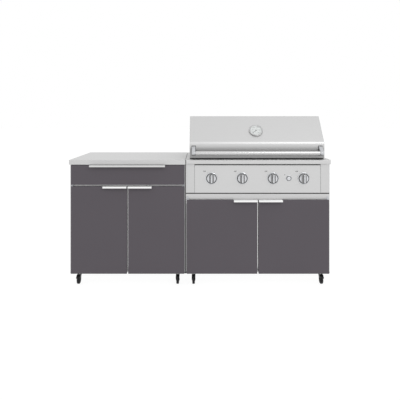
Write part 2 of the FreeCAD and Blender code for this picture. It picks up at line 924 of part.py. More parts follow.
def make_bezels():
    """The raised rings round the four knobs and round the igniter button."""
    rings = []
    for index, place_x in enumerate(knob_places(), start=1):
        ring = new_body("knob_bezel_" + str(index))
        profile = [
            (0.0, d.bezel_hole_radius),
            (0.0, d.bezel_radius),
            (-d.bezel_height / 2, d.bezel_radius),
            (-d.bezel_height, (d.bezel_radius + d.bezel_hole_radius) / 2),
            (-d.bezel_height, d.bezel_hole_radius),
        ]
        turn(ring, "YZ_Plane", "H_Axis", profile)
        place(ring, place_x, carcass_front, knob_height)
        rings.append(ring)
    ring = new_body("button_ring")
    hole = d.button_radius + d.fit_gap
    profile = [
        (0.0, hole),
        (0.0, d.button_ring_radius),
        (-d.button_ring_height / 2, d.button_ring_radius),
        (-d.button_ring_height, (d.button_ring_radius + hole) / 2),
        (-d.button_ring_height, hole),
    ]
    turn(ring, "YZ_Plane", "H_Axis", profile)
    place(ring, button_x, carcass_front, knob_height)
    group("knob_bezels", rings + [ring])


def make_knobs():
    """Each knob is a round skirt with an upright grip bar, on its valve's stem."""
    rear = -d.knob_back_gap
    skirt_front = rear - d.knob_skirt_height
    cap_front = skirt_front - d.knob_shoulder
    for index, place_x in enumerate(knob_places(), start=1):
        label = "knob_" + str(index)
        body = keep(new_body(label), label)
        profile = [
            (rear, 0.0),
            (rear, d.knob_skirt_radius),
            (skirt_front, d.knob_skirt_radius),
            (cap_front, d.knob_cap_radius),
            (cap_front, 0.0),
        ]
        turn(body, "YZ_Plane", "H_Axis", profile)
        half_width = d.knob_grip_width / 2
        half_length = d.knob_grip_length / 2
        grip = rectangle((-half_width, half_width), (-half_length, half_length))
        add(body, "XZ_Plane", (-d.knob_reach, cap_front), grip)

        def grip_edge(edge):
            tip = near(middle_of(edge).y, -d.knob_reach)
            corner = runs_along(edge, "y") and near(abs(middle_of(edge).x), half_width)
            return tip or corner

        round_edges(body, d.knob_grip_radius, grip_edge)
        bore = d.stem_radius + d.stem_clearance
        remove(body, "XZ_Plane", (rear - d.knob_bore_depth, rear), ((0.0, 0.0), bore))
        place(body, place_x, carcass_front, knob_height)


def make_button():
    body = keep(new_body("igniter_button"), "igniter_button")
    profile = [
        (d.button_length - d.button_proud, 0.0),
        (d.button_length - d.button_proud, d.button_radius),
        (-d.button_proud + d.button_chamfer, d.button_radius),
        (-d.button_proud, d.button_radius - d.button_chamfer),
        (-d.button_proud, 0.0),
    ]
    turn(body, "YZ_Plane", "H_Axis", profile)
    place(body, button_x, carcass_front, knob_height)


def make_firebox():
    """The burner box: a tub with a gutter in front, a rim, and two rails for the grease cup."""
    body = keep(new_body("firebox"), "firebox")
    gutter_front = at_depth(d.trim_depth) + d.fit_gap
    wide = half_opening - d.fit_gap
    tub = rectangle(middle_span(half_tub), (tub_front, tub_rear))
    gutter = rectangle(middle_span(wide), (gutter_front, tub_front))
    rim_x = middle_span(half_opening + d.firebox_rim)
    rim_y = (gutter_front, opening_rear + d.firebox_rim)
    add(body, "XY_Plane", (tub_bottom, frame_under), tub)
    add(body, "XY_Plane", (gutter_low, frame_under), gutter)
    add(body, "XY_Plane", (frame_under - d.sheet, frame_under), rectangle(rim_x, rim_y))

    across = middle_span(inner_half_width)
    inner_y = (tub_front + d.sheet, tub_rear - d.sheet)
    gutter_y = (gutter_front + d.sheet, inner_y[0])
    tub_floor = tub_bottom + d.sheet
    remove(body, "XY_Plane", (tub_floor, frame_under), rectangle(across, inner_y))
    remove(body, "XY_Plane", (gutter_floor, frame_under), rectangle(across, gutter_y))
    hole_radius = d.burner_radius + d.fit_gap
    holes = [((place_x, knob_height), hole_radius) for place_x in knob_places()]
    remove(body, "XZ_Plane", (tub_front, inner_y[0]), *holes)

    front_ledge = (inner_y[0], inner_y[0] + d.ledge_width)
    rear_ledge = (inner_y[1] - d.ledge_width, inner_y[1])
    plate_ledge = (plate_ledge_top - d.sheet, plate_ledge_top)
    add(body, "XY_Plane", plate_ledge, rectangle(across, front_ledge))
    add(body, "XY_Plane", plate_ledge, rectangle(across, rear_ledge))
    add(body, "XY_Plane", (gutter_low, gutter_floor), rectangle(across, rear_ledge))
    remove(body, "XY_Plane", (tub_bottom, tub_floor), ((grill_middle, tub_middle), d.grease_hole_radius))

    lip_top = cup_top - d.sheet - d.fit_gap
    rail_rear = tub_middle + d.cup_width / 2
    rail_y = (rail_rear - d.cup_rail_length, rail_rear)
    inner = d.cup_length / 2 + d.fit_gap
    outer = d.cup_length / 2 + d.cup_lip + d.fit_gap
    for side in (-1, 1):
        profile = [
            (grill_middle + inner * side, lip_top),
            (grill_middle + outer * side, lip_top),
            (grill_middle + outer * side, tub_bottom),
            (grill_middle + (outer + d.sheet) * side, tub_bottom),
            (grill_middle + (outer + d.sheet) * side, lip_top - d.sheet),
            (grill_middle + inner * side, lip_top - d.sheet),
        ]
        add(body, "XZ_Plane", rail_y, profile)


def make_burners():
    burners = []
    start = at_depth(d.valve_rear_depth) + d.burner_start_gap
    for index, place_x in enumerate(knob_places(), start=1):
        body = new_body("burner_" + str(index))
        end = tub_rear - d.burner_end_gap
        centre = (place_x, knob_height)
        add(body, "XZ_Plane", (start, end), (centre, d.burner_radius))
        bore = d.burner_radius - d.burner_wall
        remove(body, "XZ_Plane", (start, end - d.burner_wall), (centre, bore))
        burners.append(body)
    group("burners", burners)


def make_heat_plates():
    plates = []
    y = (tub_front + d.sheet + d.fit_gap, tub_rear - d.sheet - d.fit_gap)
    low = plate_ledge_top
    half_width = d.heat_plate_width / 2
    fold = d.sheet * 2
    for index, place_x in enumerate(knob_places(), start=1):
        body = new_body("heat_plate_" + str(index))
        profile = [
            (place_x - half_width, low),
            (place_x, low + d.heat_plate_rise),
            (place_x + half_width, low),
            (place_x + half_width - fold, low),
            (place_x, low + d.heat_plate_rise - d.sheet),
            (place_x - half_width + fold, low),
        ]
        add(body, "XZ_Plane", y, profile)
        plates.append(body)
    group("heat_plates", plates)


def slotted_plate(body, x, y, z, slot, pitch, along):
    """A plate with a row of equal slots, as many as its length has room for."""
    add(body, "XY_Plane", z, rectangle(x, y))
    border = d.grate_border
    if along == "x":
        first = rectangle((x[0] + border, x[0] + border + slot), (y[0] + border, y[1] - border))
        run = x[1] - x[0]
    else:
        first = rectangle((x[0] + border, x[1] - border), (y[0] + border, y[0] + border + slot))
        run = y[1] - y[0]
    pocket = remove(body, "XY_Plane", z, first)
    bar = pitch - slot
    steps = (run - border * 2 + bar) / pitch
    count = Length(math.floor(number(steps) + 1e-6), "floor(" + expression(steps) + " + 0.000001)")
    pattern = body.newObject("PartDesign::LinearPattern", body.Name + "_slots")
    pattern.Originals = [pocket]
    pattern.Direction = (pocket.Profile[0], ["H_Axis" if along == "x" else "V_Axis"])
    pattern.Occurrences = count.value
    bind(pattern, Length=pitch * (count - 1), Occurrences=count)
    body.Tip = pattern


def make_grates():
    grates = []
    total = inner_half_width * 2
    width = (total - d.grate_gap * (GRATE_COUNT + 1)) / GRATE_COUNT
    pitch = d.grate_slot + d.grate_bar
    y = (tub_front - d.grate_front_lap, tub_rear - d.sheet - d.fit_gap)
    z = (gutter_floor, gutter_floor + d.grate_thickness)
    for index in range(GRATE_COUNT):
        body = new_body("cooking_grate_" + str(index + 1))
        left = grill_middle - inner_half_width + d.grate_gap + (width + d.grate_gap) * index
        slotted_plate(body, (left, left + width), y, z, d.grate_slot, pitch, "x")
        grates.append(body)
    group("cooking_grates", grates)


def make_warming_rack():
    body = keep(new_body("warming_rack"), "warming_rack")
    x = middle_span(inner_half_width - d.rack_side_gap)
    rack_rear = tub_rear - d.rack_rear_gap
    y = (rack_rear - d.rack_depth, rack_rear)
    rack_top = d.worktop_height + d.rack_rise
    z = (rack_top - d.rack_sheet, rack_top)
    slotted_plate(body, x, y, z, d.rack_slot, d.rack_slot + d.rack_rod, "y")
    leg_z = (gutter_floor + d.grate_thickness, z[0])
    for leg_x in ((x[0], x[0] + d.rack_leg), (x[1] - d.rack_leg, x[1])):
        for leg_y in ((y[0], y[0] + d.rack_leg), (y[1] - d.rack_leg, y[1])):
            add(body, "XY_Plane", leg_z, rectangle(leg_x, leg_y))


def make_grease_cup():
    """The grease cup under the tub's hole. Its two side lips slide in the rails under the tub."""
    body = keep(new_body("grease_cup"), "grease_cup")
    z = (cup_top - d.cup_height, cup_top)
    x = middle_span(d.cup_length / 2)
    y = (tub_middle - d.cup_width / 2, tub_middle + d.cup_width / 2)
    add(body, "XY_Plane", z, rectangle(x, y))
    lips = middle_span(d.cup_length / 2 + d.cup_lip)
    add(body, "XY_Plane", (cup_top - d.sheet, cup_top), rectangle(lips, y))
    remove(body, "XY_Plane", (z[0] + d.sheet, z[1]), rectangle(inset(x, d.sheet), inset(y, d.sheet)))


def make_manifold():
    """The gas pipe behind the panel, its four valves with their stems, and its inlet at the back."""
    pipe_y = at_depth(d.pipe_depth)
    pipe_start = (grill_middle - half_pipe, pipe_y, knob_height)
    pieces = [cylinder("gas_pipe", "x", d.pipe_radius, pipe_start, half_pipe * 2)]
    valve_front = carcass_front + d.sheet
    valve_rear = at_depth(d.valve_rear_depth)
    stem_tip = carcass_front - d.knob_back_gap - d.knob_bore_depth + d.fit_gap
    valve_z = (knob_height - d.valve_height / 2, knob_height + d.valve_height / 2)
    for index, place_x in enumerate(knob_places(), start=1):
        number_text = str(index)
        valve_x = (place_x - d.valve_width / 2, place_x + d.valve_width / 2)
        pieces.append(box("valve_" + number_text, valve_x, (valve_front, valve_rear), valve_z))
        stem_start = (place_x, stem_tip, knob_height)
        stem_length = valve_front - stem_tip
        pieces.append(cylinder("stem_" + number_text, "y", d.stem_radius, stem_start, stem_length))
        nozzle_start = (place_x, valve_rear, knob_height)
        pieces.append(cylinder("nozzle_" + number_text, "y", d.stem_radius, nozzle_start, d.nozzle_length))
    inlet_end = cabinet_back - d.sheet * 2 - d.inlet_gap
    inlet_start = inlet_end - d.inlet_length
    elbow = (inlet_x, pipe_y, inlet_z)
    pieces.append(cylinder("inlet_drop", "z", d.pipe_radius, elbow, d.inlet_drop))
    pieces.append(ball("inlet_elbow", d.pipe_radius, elbow))
    pieces.append(cylinder("inlet_run", "y", d.pipe_radius, elbow, inlet_start - pipe_y))
    flare = (inlet_x, inlet_start, inlet_z)
    pieces.append(cylinder("gas_inlet", "y", d.inlet_radius, flare, d.inlet_length))
    keep(fuse("gas_manifold", pieces), "gas_manifold")


def hood_outline(rear_bottom):
    """The hood's side view: upright front, sloping brow, flat top, and a back that falls away."""
    brow_top = bend[0] + d.brow_run
    return [
        (hood_front, hood_bottom),
        bend,
        (brow_top, hood_top),
        (brow_top + d.hood_flat, hood_top),
        (hood_rear, hood_bottom + d.shoulder_rise),
        (hood_rear, rear_bottom),
    ]


def hood_solid(name, x, rear_bottom):
    """The hood's outer form over a span of its width, with its bends rounded."""
    body = new_body(name)
    corners = hood_outline(rear_bottom)
    add(body, "YZ_Plane", x, corners)
    for corner, radius in zip(corners[1:4], (d.bend_radius, d.brow_radius, d.ridge_radius)):

        def at_corner(edge):
            middle = middle_of(edge)
            return runs_along(edge, "x") and near(middle.y, corner[0]) and near(middle.z, corner[1])

        round_edges(body, radius, at_corner)
    return body


def make_hood():
    skin_half = half_hood - d.hood_cap
    rear_bottom = hood_bottom + d.hood_rear_rise
    skin = keep(hood_solid("hood_skin", middle_span(skin_half), rear_bottom), "hood_skin")
    doc.recompute()
    solid = skin.Tip
    open_faces = []
    for index, face in enumerate(solid.Shape.Faces, start=1):
        normal = face.normalAt(0, 0)
        if abs(normal.x) > 0.99 or normal.z < -0.5:
            open_faces.append("Face" + str(index))
    shell = skin.newObject("PartDesign::Thickness", "hood_skin_shell")
    shell.Base = (solid, open_faces)
    shell.Reversed = True
    shell.Join = 0
    bind(shell, Value=d.hood_sheet)

    caps = []
    for side, x in (
        ("left", (grill_middle - half_hood, grill_middle - skin_half)),
        ("right", (grill_middle + skin_half, grill_middle + half_hood)),
    ):
        cap = hood_solid("hood_" + side + "_cap", x, hood_bottom + d.cap_rear_rise)
        remove(cap, "YZ_Plane", x, (hinge, d.hinge_pin_radius + d.hinge_clearance))
        caps.append(cap)
    group("hood_end_caps", caps)


def make_hood_hinges():
    """The two pivots on the top frame: a foot, an upright ear and a pin through the hood's cap."""
    foot_y = (hinge[0] - d.hinge_ear_radius, hinge[0] + d.hinge_ear_radius)
    pieces = []
    for side, outward in (("left", -1), ("right", 1)):
        cap_outer = grill_middle + half_hood * outward
        ear_outer = grill_middle + (half_hood - d.hood_cap - d.hinge_plate_gap) * outward
        ear_inner = ear_outer - d.hinge_plate * outward
        foot_end = ear_outer - d.hinge_foot * outward
        body = new_body("hood_" + side + "_hinge")
        ear_x = tuple(sorted((ear_outer, ear_inner), key=number))
        foot_x = tuple(sorted((ear_outer, foot_end), key=number))
        pin_x = tuple(sorted((ear_outer, cap_outer), key=number))
        foot_z = (d.worktop_height, d.worktop_height + d.hinge_foot_sheet)
        add(body, "XY_Plane", foot_z, rectangle(foot_x, foot_y))
        add(body, "YZ_Plane", ear_x, rectangle(foot_y, (d.worktop_height, hinge[1])))
        add(body, "YZ_Plane", ear_x, (hinge, d.hinge_ear_radius))
        add(body, "YZ_Plane", pin_x, (hinge, d.hinge_pin_radius))
        pieces.append(body)
    group("hood_hinges", pieces)


def make_handle():
    """The round bar across the hood, held by a wedge-shaped bracket near each end."""
    outer = half_hood - d.bracket_inset
    inner = outer - d.bracket_width
    bar_y = hood_front - d.handle_reach
    bar_z = hood_bottom + d.handle_rise
    top = bar_z + d.bracket_rise
    bottom = bar_z - d.bracket_drop
    brackets = []
    profile = [
        (hood_front, top),
        (bar_y, bar_z + d.handle_radius),
        (bar_y - d.handle_radius, bar_z + d.handle_radius / 2),
        (bar_y - d.handle_radius, bar_z - d.handle_radius / 2),
        (bar_y - d.handle_radius / 2, bar_z - d.handle_radius),
        (hood_front, bottom),
    ]
    for side, x in (
        ("left", (grill_middle - outer, grill_middle - inner)),
        ("right", (grill_middle + inner, grill_middle + outer)),
    ):
        bracket = new_body("handle_" + side + "_bracket")
        add(bracket, "YZ_Plane", x, profile)
        brackets.append(bracket)
    group("hood_handle_brackets", brackets)
    bar = keep(new_body("hood_handle_bar"), "hood_handle_bar")
    centre = (bar_y, bar_z)
    bore = (centre, d.handle_radius - d.handle_wall)
    add(bar, "YZ_Plane", middle_span(inner), (centre, d.handle_radius), bore)


def make_thermometer():
    """The round thermometer on the hood's brow, with a needle that turns on a small pin."""
    rise = hood_top - bend[1]
    brow_y = bend[0] + d.brow_run * (d.thermometer_rise / rise)
    middle_z = bend[1] + d.thermometer_rise
    lean = math.degrees(math.atan2(number(rise), number(d.brow_run)))
    tilt = FreeCAD.Rotation(FreeCAD.Vector(1, 0, 0), lean)
    floor = d.thermometer_thickness - d.dial_recess

    case = keep(new_body("thermometer_case"), "thermometer_case")
    profile = [
        (0.0, 0.0),
        (d.thermometer_radius, 0.0),
        (d.thermometer_radius, d.thermometer_thickness),
        (d.dial_radius, d.thermometer_thickness),
        (d.dial_radius, floor),
        (d.needle_pin_radius, floor),
        (d.needle_pin_radius, floor + d.needle_gap + d.needle_thickness),
        (0.0, floor + d.needle_gap + d.needle_thickness),
    ]
    turn(case, "XZ_Plane", "V_Axis", profile)
    case.Placement = FreeCAD.Placement(FreeCAD.Vector(), tilt)
    place(case, grill_middle, brow_y, middle_z)

    needle = keep(new_body("thermometer_needle"), "thermometer_needle")
    z = (floor + d.needle_gap, floor + d.needle_gap + d.needle_thickness)
    half_width = d.needle_width / 2
    pointer = [
        (-half_width, 0.0),
        (half_width, 0.0),
        (half_width / 4, d.needle_length),
        (-half_width / 4, d.needle_length),
    ]
    add(needle, "XY_Plane", z, pointer)
    add(needle, "XY_Plane", z, ((0.0, 0.0), d.needle_hub_radius))
    remove(needle, "XY_Plane", z, ((0.0, 0.0), d.needle_pin_radius + d.needle_pin_clearance))
    cold = FreeCAD.Rotation(FreeCAD.Vector(0, 0, 1), NEEDLE_REST_ANGLE)
    needle.Placement = FreeCAD.Placement(FreeCAD.Vector(), tilt.multiply(cold))
    place(needle, grill_middle, brow_y, middle_z)


def caster_columns():
    return [
        ("cupboard_left", left_end + d.caster_inset),
        ("cupboard_right", cupboard_right - d.caster_inset),
        ("grill_left", grill_left + d.caster_inset),
        ("grill_right", right_end - d.caster_inset),
    ]


fork_inner = d.wheel_width / 2 + d.wheel_side_gap
fork_outer = fork_inner + d.fork_sheet
crown_low = d.wheel_radius + d.fork_gap_over_wheel
plate_under = d.caster_height - d.caster_plate - d.wheel_radius


def fork_body(name, crown_y, leg_top):
    """Two legs and an axle with its nuts, about the centre of the wheel."""
    body = new_body(name)
    half_leg = d.fork_leg_width / 2
    leg = [
        (-d.fork_foot, -d.fork_foot),
        (d.fork_foot, -d.fork_foot),
        (crown_y + half_leg, crown_low),
        (crown_y + half_leg, leg_top),
        (crown_y - half_leg, leg_top),
        (crown_y - half_leg, crown_low),
    ]
    axle_centre = (0.0, 0.0)
    half_axle = d.axle_length / 2
    add(body, "YZ_Plane", (-half_axle, half_axle), (axle_centre, d.axle_radius))
    for x in ((-fork_outer, -fork_inner), (fork_inner, fork_outer)):
        add(body, "YZ_Plane", x, leg)
    for x in ((-half_axle, -fork_outer), (fork_outer, half_axle)):
        add(body, "YZ_Plane", x, (axle_centre, d.axle_nut_radius))
    return body


def wheel_body(label):
    body = keep(new_body(label), label)
    half = d.wheel_width / 2
    bore = d.axle_radius + d.axle_clearance
    web = half - d.wheel_dish
    rim = d.wheel_radius - d.wheel_corner_radius * 2
    profile = [
        (-half, bore),
        (-half, d.wheel_hub_radius),
        (-web, d.wheel_hub_radius),
        (-web, rim),
        (-half, rim),
        (-half, d.wheel_radius),
        (half, d.wheel_radius),
        (half, rim),
        (web, rim),
        (web, d.wheel_hub_radius),
        (half, d.wheel_hub_radius),
        (half, bore),
    ]
    turn(body, "XY_Plane", "H_Axis", profile)

    def tread_corner(edge):
        round_edge = isinstance(edge.Curve, Part.Circle)
        return round_edge and near(edge.Curve.Radius, d.wheel_radius)

    round_edges(body, d.wheel_corner_radius, tread_corner)
    return body


def make_casters():
    half_plate = d.caster_plate_size / 2
    front_y = at_depth(d.caster_front_depth)
    rear_y = back - d.caster_rear_depth
    swivel_y = front_y + d.caster_trail
    plate_z = (d.caster_height - d.caster_plate, d.caster_height)
    pin_low = d.wheel_radius + crown_low
    half_leg = d.fork_leg_width / 2
    plates = []
    rear_forks = []
    for name, x in caster_columns():
        plate_x = (x - half_plate, x + half_plate)
        plate_y = (swivel_y - half_plate, swivel_y + half_plate)
        plate = box(name + "_plate_sheet", plate_x, plate_y, plate_z)
        pin_start = (x, swivel_y, pin_low)
        pin = cylinder(name + "_kingpin", "z", d.kingpin_radius, pin_start, plate_z[0] - pin_low)
        plates.append(fuse(name + "_caster_plate", [plate, pin]))

        fork_label = name + "_caster_fork"
        fork = keep(fork_body(fork_label, d.caster_trail, crown_low + d.fork_sheet), fork_label)
        swivel = (0.0, d.caster_trail)
        crown_y = (d.caster_trail - half_leg, d.caster_trail + half_leg)
        crown = rectangle((-fork_outer, fork_outer), crown_y)
        add(fork, "XY_Plane", (crown_low, crown_low + d.fork_sheet), crown)
        cup_z = (crown_low + d.fork_sheet, plate_under - d.swivel_gap)
        add(fork, "XY_Plane", cup_z, (swivel, d.fork_cup_radius))
        bore_z = (crown_low, plate_under - d.swivel_gap)
        remove(fork, "XY_Plane", bore_z, (swivel, d.kingpin_radius + d.axle_clearance))
        place(fork, x, front_y, d.wheel_radius)

        rear_fork = fork_body(name + "_rear_fork", Length(0.0, "0.0"), plate_under)
        rear_plate = rectangle((-half_plate, half_plate), (-half_plate, half_plate))
        add(rear_fork, "XY_Plane", (plate_under, plate_under + d.caster_plate), rear_plate)
        place(rear_fork, x, rear_y, d.wheel_radius)
        rear_forks.append(rear_fork)

        place(wheel_body(name + "_front_wheel"), x, front_y, d.wheel_radius)
        place(wheel_body(name + "_rear_wheel"), x, rear_y, d.wheel_radius)
    group("front_caster_plates", plates)
    group("rear_caster_forks", rear_forks)


def check_document():
    """Stop with a message if any object failed, or a sub-part has no valid shape."""
    for item in doc.Objects:
        if "Invalid" in item.State or "Error" in item.State:
            raise RuntimeError(item.Name + " failed: " + ", ".join(item.State))
    for item in NODES:
        if item.Shape.isNull() or not item.Shape.isValid() or not item.Shape.Solids:
            raise RuntimeError(item.Label + " has no valid solid")


make_cupboard()
make_worktop()
make_grill_cabinet()
make_top_frame()
make_control_panel()
make_bezels()
make_firebox()
make_burners()
make_heat_plates()
make_grates()
make_warming_rack()
make_grease_cup()
make_manifold()
make_hood_hinges()
make_hood()
make_handle()
make_thermometer()
make_knobs()
make_button()
make_doors()
make_drawer()
make_casters()
doc.recompute()
check_document()

os.makedirs("parts", exist_ok=True)
for item in NODES:
    item.Shape.exportStep("parts/" + item.Label + ".step")
print(len(NODES), "sub-parts written")
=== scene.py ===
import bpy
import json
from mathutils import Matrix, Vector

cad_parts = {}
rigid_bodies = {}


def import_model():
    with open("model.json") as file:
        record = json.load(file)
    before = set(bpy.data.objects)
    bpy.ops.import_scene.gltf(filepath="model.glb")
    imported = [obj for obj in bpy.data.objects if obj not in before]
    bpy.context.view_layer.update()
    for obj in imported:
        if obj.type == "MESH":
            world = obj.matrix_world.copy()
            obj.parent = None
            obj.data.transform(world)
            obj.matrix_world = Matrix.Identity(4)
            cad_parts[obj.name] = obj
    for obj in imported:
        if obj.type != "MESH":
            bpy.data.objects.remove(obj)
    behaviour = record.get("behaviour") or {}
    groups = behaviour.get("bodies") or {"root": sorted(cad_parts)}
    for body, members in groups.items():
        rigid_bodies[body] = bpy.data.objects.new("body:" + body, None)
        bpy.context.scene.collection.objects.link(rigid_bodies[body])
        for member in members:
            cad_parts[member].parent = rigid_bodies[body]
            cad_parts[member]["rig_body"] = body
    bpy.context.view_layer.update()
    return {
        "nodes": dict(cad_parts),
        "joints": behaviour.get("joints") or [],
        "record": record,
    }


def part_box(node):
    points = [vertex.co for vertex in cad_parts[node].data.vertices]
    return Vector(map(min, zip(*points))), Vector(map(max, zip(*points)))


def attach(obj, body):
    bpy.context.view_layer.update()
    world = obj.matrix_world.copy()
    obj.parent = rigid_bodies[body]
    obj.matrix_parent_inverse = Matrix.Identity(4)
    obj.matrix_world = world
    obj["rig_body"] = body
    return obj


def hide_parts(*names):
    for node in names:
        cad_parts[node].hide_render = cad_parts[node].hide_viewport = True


bl_info = {
    "name": "Outdoor Kitchen Island",
    "version": (1, 0, 0),
    "blender": (4, 5, 0),
    "location": "3D View > Sidebar > Kitchen Island",
    "description": "Finishes a kitchen island's cupboard and gas grill, and lights it on a plain floor",
    "category": "Object",
}

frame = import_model()

import json
import math

import bmesh
import bpy
from bpy.props import FloatProperty, FloatVectorProperty, IntProperty, PointerProperty
from mathutils import Matrix, Vector

MM = 0.001
WELD = 0.005 * MM
FLAT_ANGLE = math.radians(0.5)
SHARP_ANGLE = math.radians(30)
TURN_STEPS = 64
COLORS = {row["slot"]: tuple(row["base_color"]) for row in frame["record"]["materials"]}
SLOTS = {row["node"]: row["material_slot"] for row in frame["record"]["subparts"]}
JOINTS = {joint["name"]: joint for joint in frame["joints"]}

# How far the edges of folded and cast pieces are softened, in millimetres: most of them, the
# doors, the pulls, and those that differ
EDGE = 0.4
DOOR_EDGE = 0.5
PULL_EDGE = 0.6
OTHER_EDGES = {
    "worktop": 0.5,
    "grill_top_frame": 0.5,
    "hood_end_caps": 0.9,
    "hood_handle_brackets": 2.5,
    "hood_hinges": 0.5,
    "drawer_front": 0.5,
    "drawer_runners": 0.5,
    "front_caster_plates": 0.6,
}
CORNERS = [unit + "_" + side for unit in ("cupboard", "grill") for side in ("left", "right")]
DOORS = [corner + "_door" for corner in CORNERS]
KNOBS = ["knob_" + str(number) for number in range(1, 5)]
# The solids that are softened, by the operator that does it
GROUPS = {
    "panels": [
        "worktop", "grill_top_frame", "control_panel", "grill_face_frame", "cupboard_sides",
        "cupboard_floor", "cupboard_back", "cupboard_rails", "cupboard_shelf", "grill_cabinet_sides",
        "grill_cabinet_floor", "grill_cabinet_back", "firebox", "heat_plates", "grease_cup",
    ],
    "fronts": [
        "drawer_front", "drawer_box", "drawer_runners", "drawer_slide_rails", "drawer_pull",
        *DOORS, *[door + "_pull" for door in DOORS], "door_pivots",
    ],
    "hood": ["hood_skin", "hood_end_caps", "hood_handle_brackets", "hood_hinges"],
    "casters": [
        "front_caster_plates", "rear_caster_forks", *[corner + "_caster_fork" for corner in CORNERS],
    ],
}
# Half of a knob's section across its grip: distance from the middle and height, in millimetres
KNOB_SECTION = (
    (0.0, 42.0), (3.6, 41.8), (4.6, 41.0), (5.2, 39.6), (6.2, 24.0), (7.0, 14.0), (8.4, 11.0),
    (10.6, 10.2), (13.2, 11.8), (15.2, 14.6), (16.6, 16.6), (18.6, 17.6), (22.0, 17.9), (26.0, 17.6),
    (28.4, 17.0), (29.6, 16.2), (30.0, 15.0),
)
# The strips of a knob's front whose left edge lies this far from the middle are painted darker, as painted
# shade in the grooves beside its grip
KNOB_SHADED_STRIPS = (5.2, 14.0)
# How high a knob's rim and its back lie, and the share of its grip's half length that is rounded
KNOB_RIM = 15.0
KNOB_BACK = 1.5
KNOB_END = 0.1
# How many faces lie along the grip, and the materials of a knob: metal, pointer and the darker metal of
# painted shade
KNOB_ROWS = 28
KNOB_METAL, KNOB_POINTER, KNOB_DARK = 0, 1, 2
# How wide the thermometer's ring is, and the radius of the pin in its middle, in millimetres
DIAL_RING = 8.0
DIAL_PIN = 2.0
# How far the feet of the cabinets' front flanges reach down past the cabinets' sides
FLANGE_DROP = 11 * MM
# Sheets that are brushed along another axis than X
GRAIN = {
    "hood_end_caps": "y",
    "hood_handle_brackets": "y",
}


class IslandFinishes(bpy.types.PropertyGroup):
    """Colours and gloss of the island's metals and coats."""

    steel: FloatVectorProperty(
        name="Steel", description="Colour of the brushed steel", subtype="COLOR",
        size=3, min=0, max=1, default=COLORS["stainless_steel"],
    )
    carcass: FloatVectorProperty(
        name="Carcass", description="Colour of the cabinets' own steel", subtype="COLOR",
        size=3, min=0, max=1, default=COLORS["carcass_steel"],
    )
    casing: FloatVectorProperty(
        name="Casing", description="Colour of the cabinets' outer sides, a darker steel", subtype="COLOR",
        size=3, min=0, max=1, default=(0.40, 0.40, 0.405),
    )
    paint: FloatVectorProperty(
        name="Paint", description="Colour of the powder coat on doors and drawer", subtype="COLOR",
        size=3, min=0, max=1, default=(0.103, 0.091, 0.105),
    )
    # Painted shade: the drawer's pull is a darker copy of the pulls' metal, for the shade under the
    # worktop's nose.
    drawer_pull: FloatVectorProperty(
        name="Drawer pull", description="Colour of the drawer's pull", subtype="COLOR",
        size=3, min=0, max=1, default=(0.66, 0.66, 0.66),
    )
    handle: FloatVectorProperty(
        name="Handle", description="Colour of the hood's handle bar", subtype="COLOR",
        size=3, min=0, max=1, default=(0.62, 0.62, 0.62),
    )
    case: FloatVectorProperty(
        name="Thermometer case", description="Colour of the thermometer's ring", subtype="COLOR",
        size=3, min=0, max=1, default=(0.52, 0.52, 0.52),
    )
    # Painted light: the edge pulls are a lighter copy of their metal, for the light they catch from above.
    pulls: FloatVectorProperty(
        name="Pulls", description="Colour of the edge pulls", subtype="COLOR",
        size=3, min=0, max=1, default=(0.9, 0.9, 0.9),
    )
    print_ink: FloatVectorProperty(
        name="Print", description="Colour of the marks printed on the control panel", subtype="COLOR",
        size=3, min=0, max=1, default=(0.08, 0.08, 0.08),
    )
    dial_white: FloatVectorProperty(
        name="Dial", description="Colour of the thermometer's face", subtype="COLOR",
        size=3, min=0, max=1, default=(0.74, 0.76, 0.75),
    )
    steel_roughness: FloatProperty(
        name="Steel roughness", description="How dull the brushed steel is", subtype="FACTOR",
        min=0, max=1, default=0.52,
    )
    paint_roughness: FloatProperty(
        name="Paint roughness", description="How dull the powder coat is", subtype="FACTOR",
        min=0, max=1, default=0.5,
    )


class IslandHardware(bpy.types.PropertyGroup):
    """Sizes of the fastenings and of the small turned pieces."""

    rivet_radius: FloatProperty(
        name="Rivet radius", description="Radius of a rivet's dome", unit="LENGTH",
        min=0.001, default=3.2 * MM,
    )
    rivet_height: FloatProperty(
        name="Rivet height", description="How far a rivet's dome stands out", unit="LENGTH",
        min=0.0005, default=1.2 * MM,
    )
    rivet_pitch: FloatProperty(
        name="Rivet pitch", description="About how far apart two rivets are", unit="LENGTH",
        min=0.02, default=115 * MM,
    )
    bolt_radius: FloatProperty(
        name="Bolt radius", description="Radius of a caster bolt's hexagon head", unit="LENGTH",
        min=0.001, default=4.6 * MM,
    )
    bolt_height: FloatProperty(
        name="Bolt height", description="Height of a caster bolt's head", unit="LENGTH",
        min=0.0005, default=2.6 * MM,
    )
    port_radius: FloatProperty(
        name="Port radius", description="Radius of a gas port in a burner", unit="LENGTH",
        min=0.0002, default=1.3 * MM,
    )
    port_pitch: FloatProperty(
        name="Port pitch", description="Distance between two ports of a burner", unit="LENGTH",
        min=0.003, default=12 * MM,
    )
    spokes: IntProperty(
        name="Wheel ribs", description="How many ribs a wheel's web has", min=3, default=8,
    )
    mark_height: FloatProperty(
        name="Mark height", description="Height of the letters beside a knob", unit="LENGTH",
        min=0.002, default=11 * MM,
    )
    dial_numbers: IntProperty(
        name="Dial numbers", description="How many numbers are on the dial", min=2, default=6,
    )
    small_ticks: IntProperty(
        name="Small ticks", description="How many small steps lie between two numbers", min=1, default=5,
    )


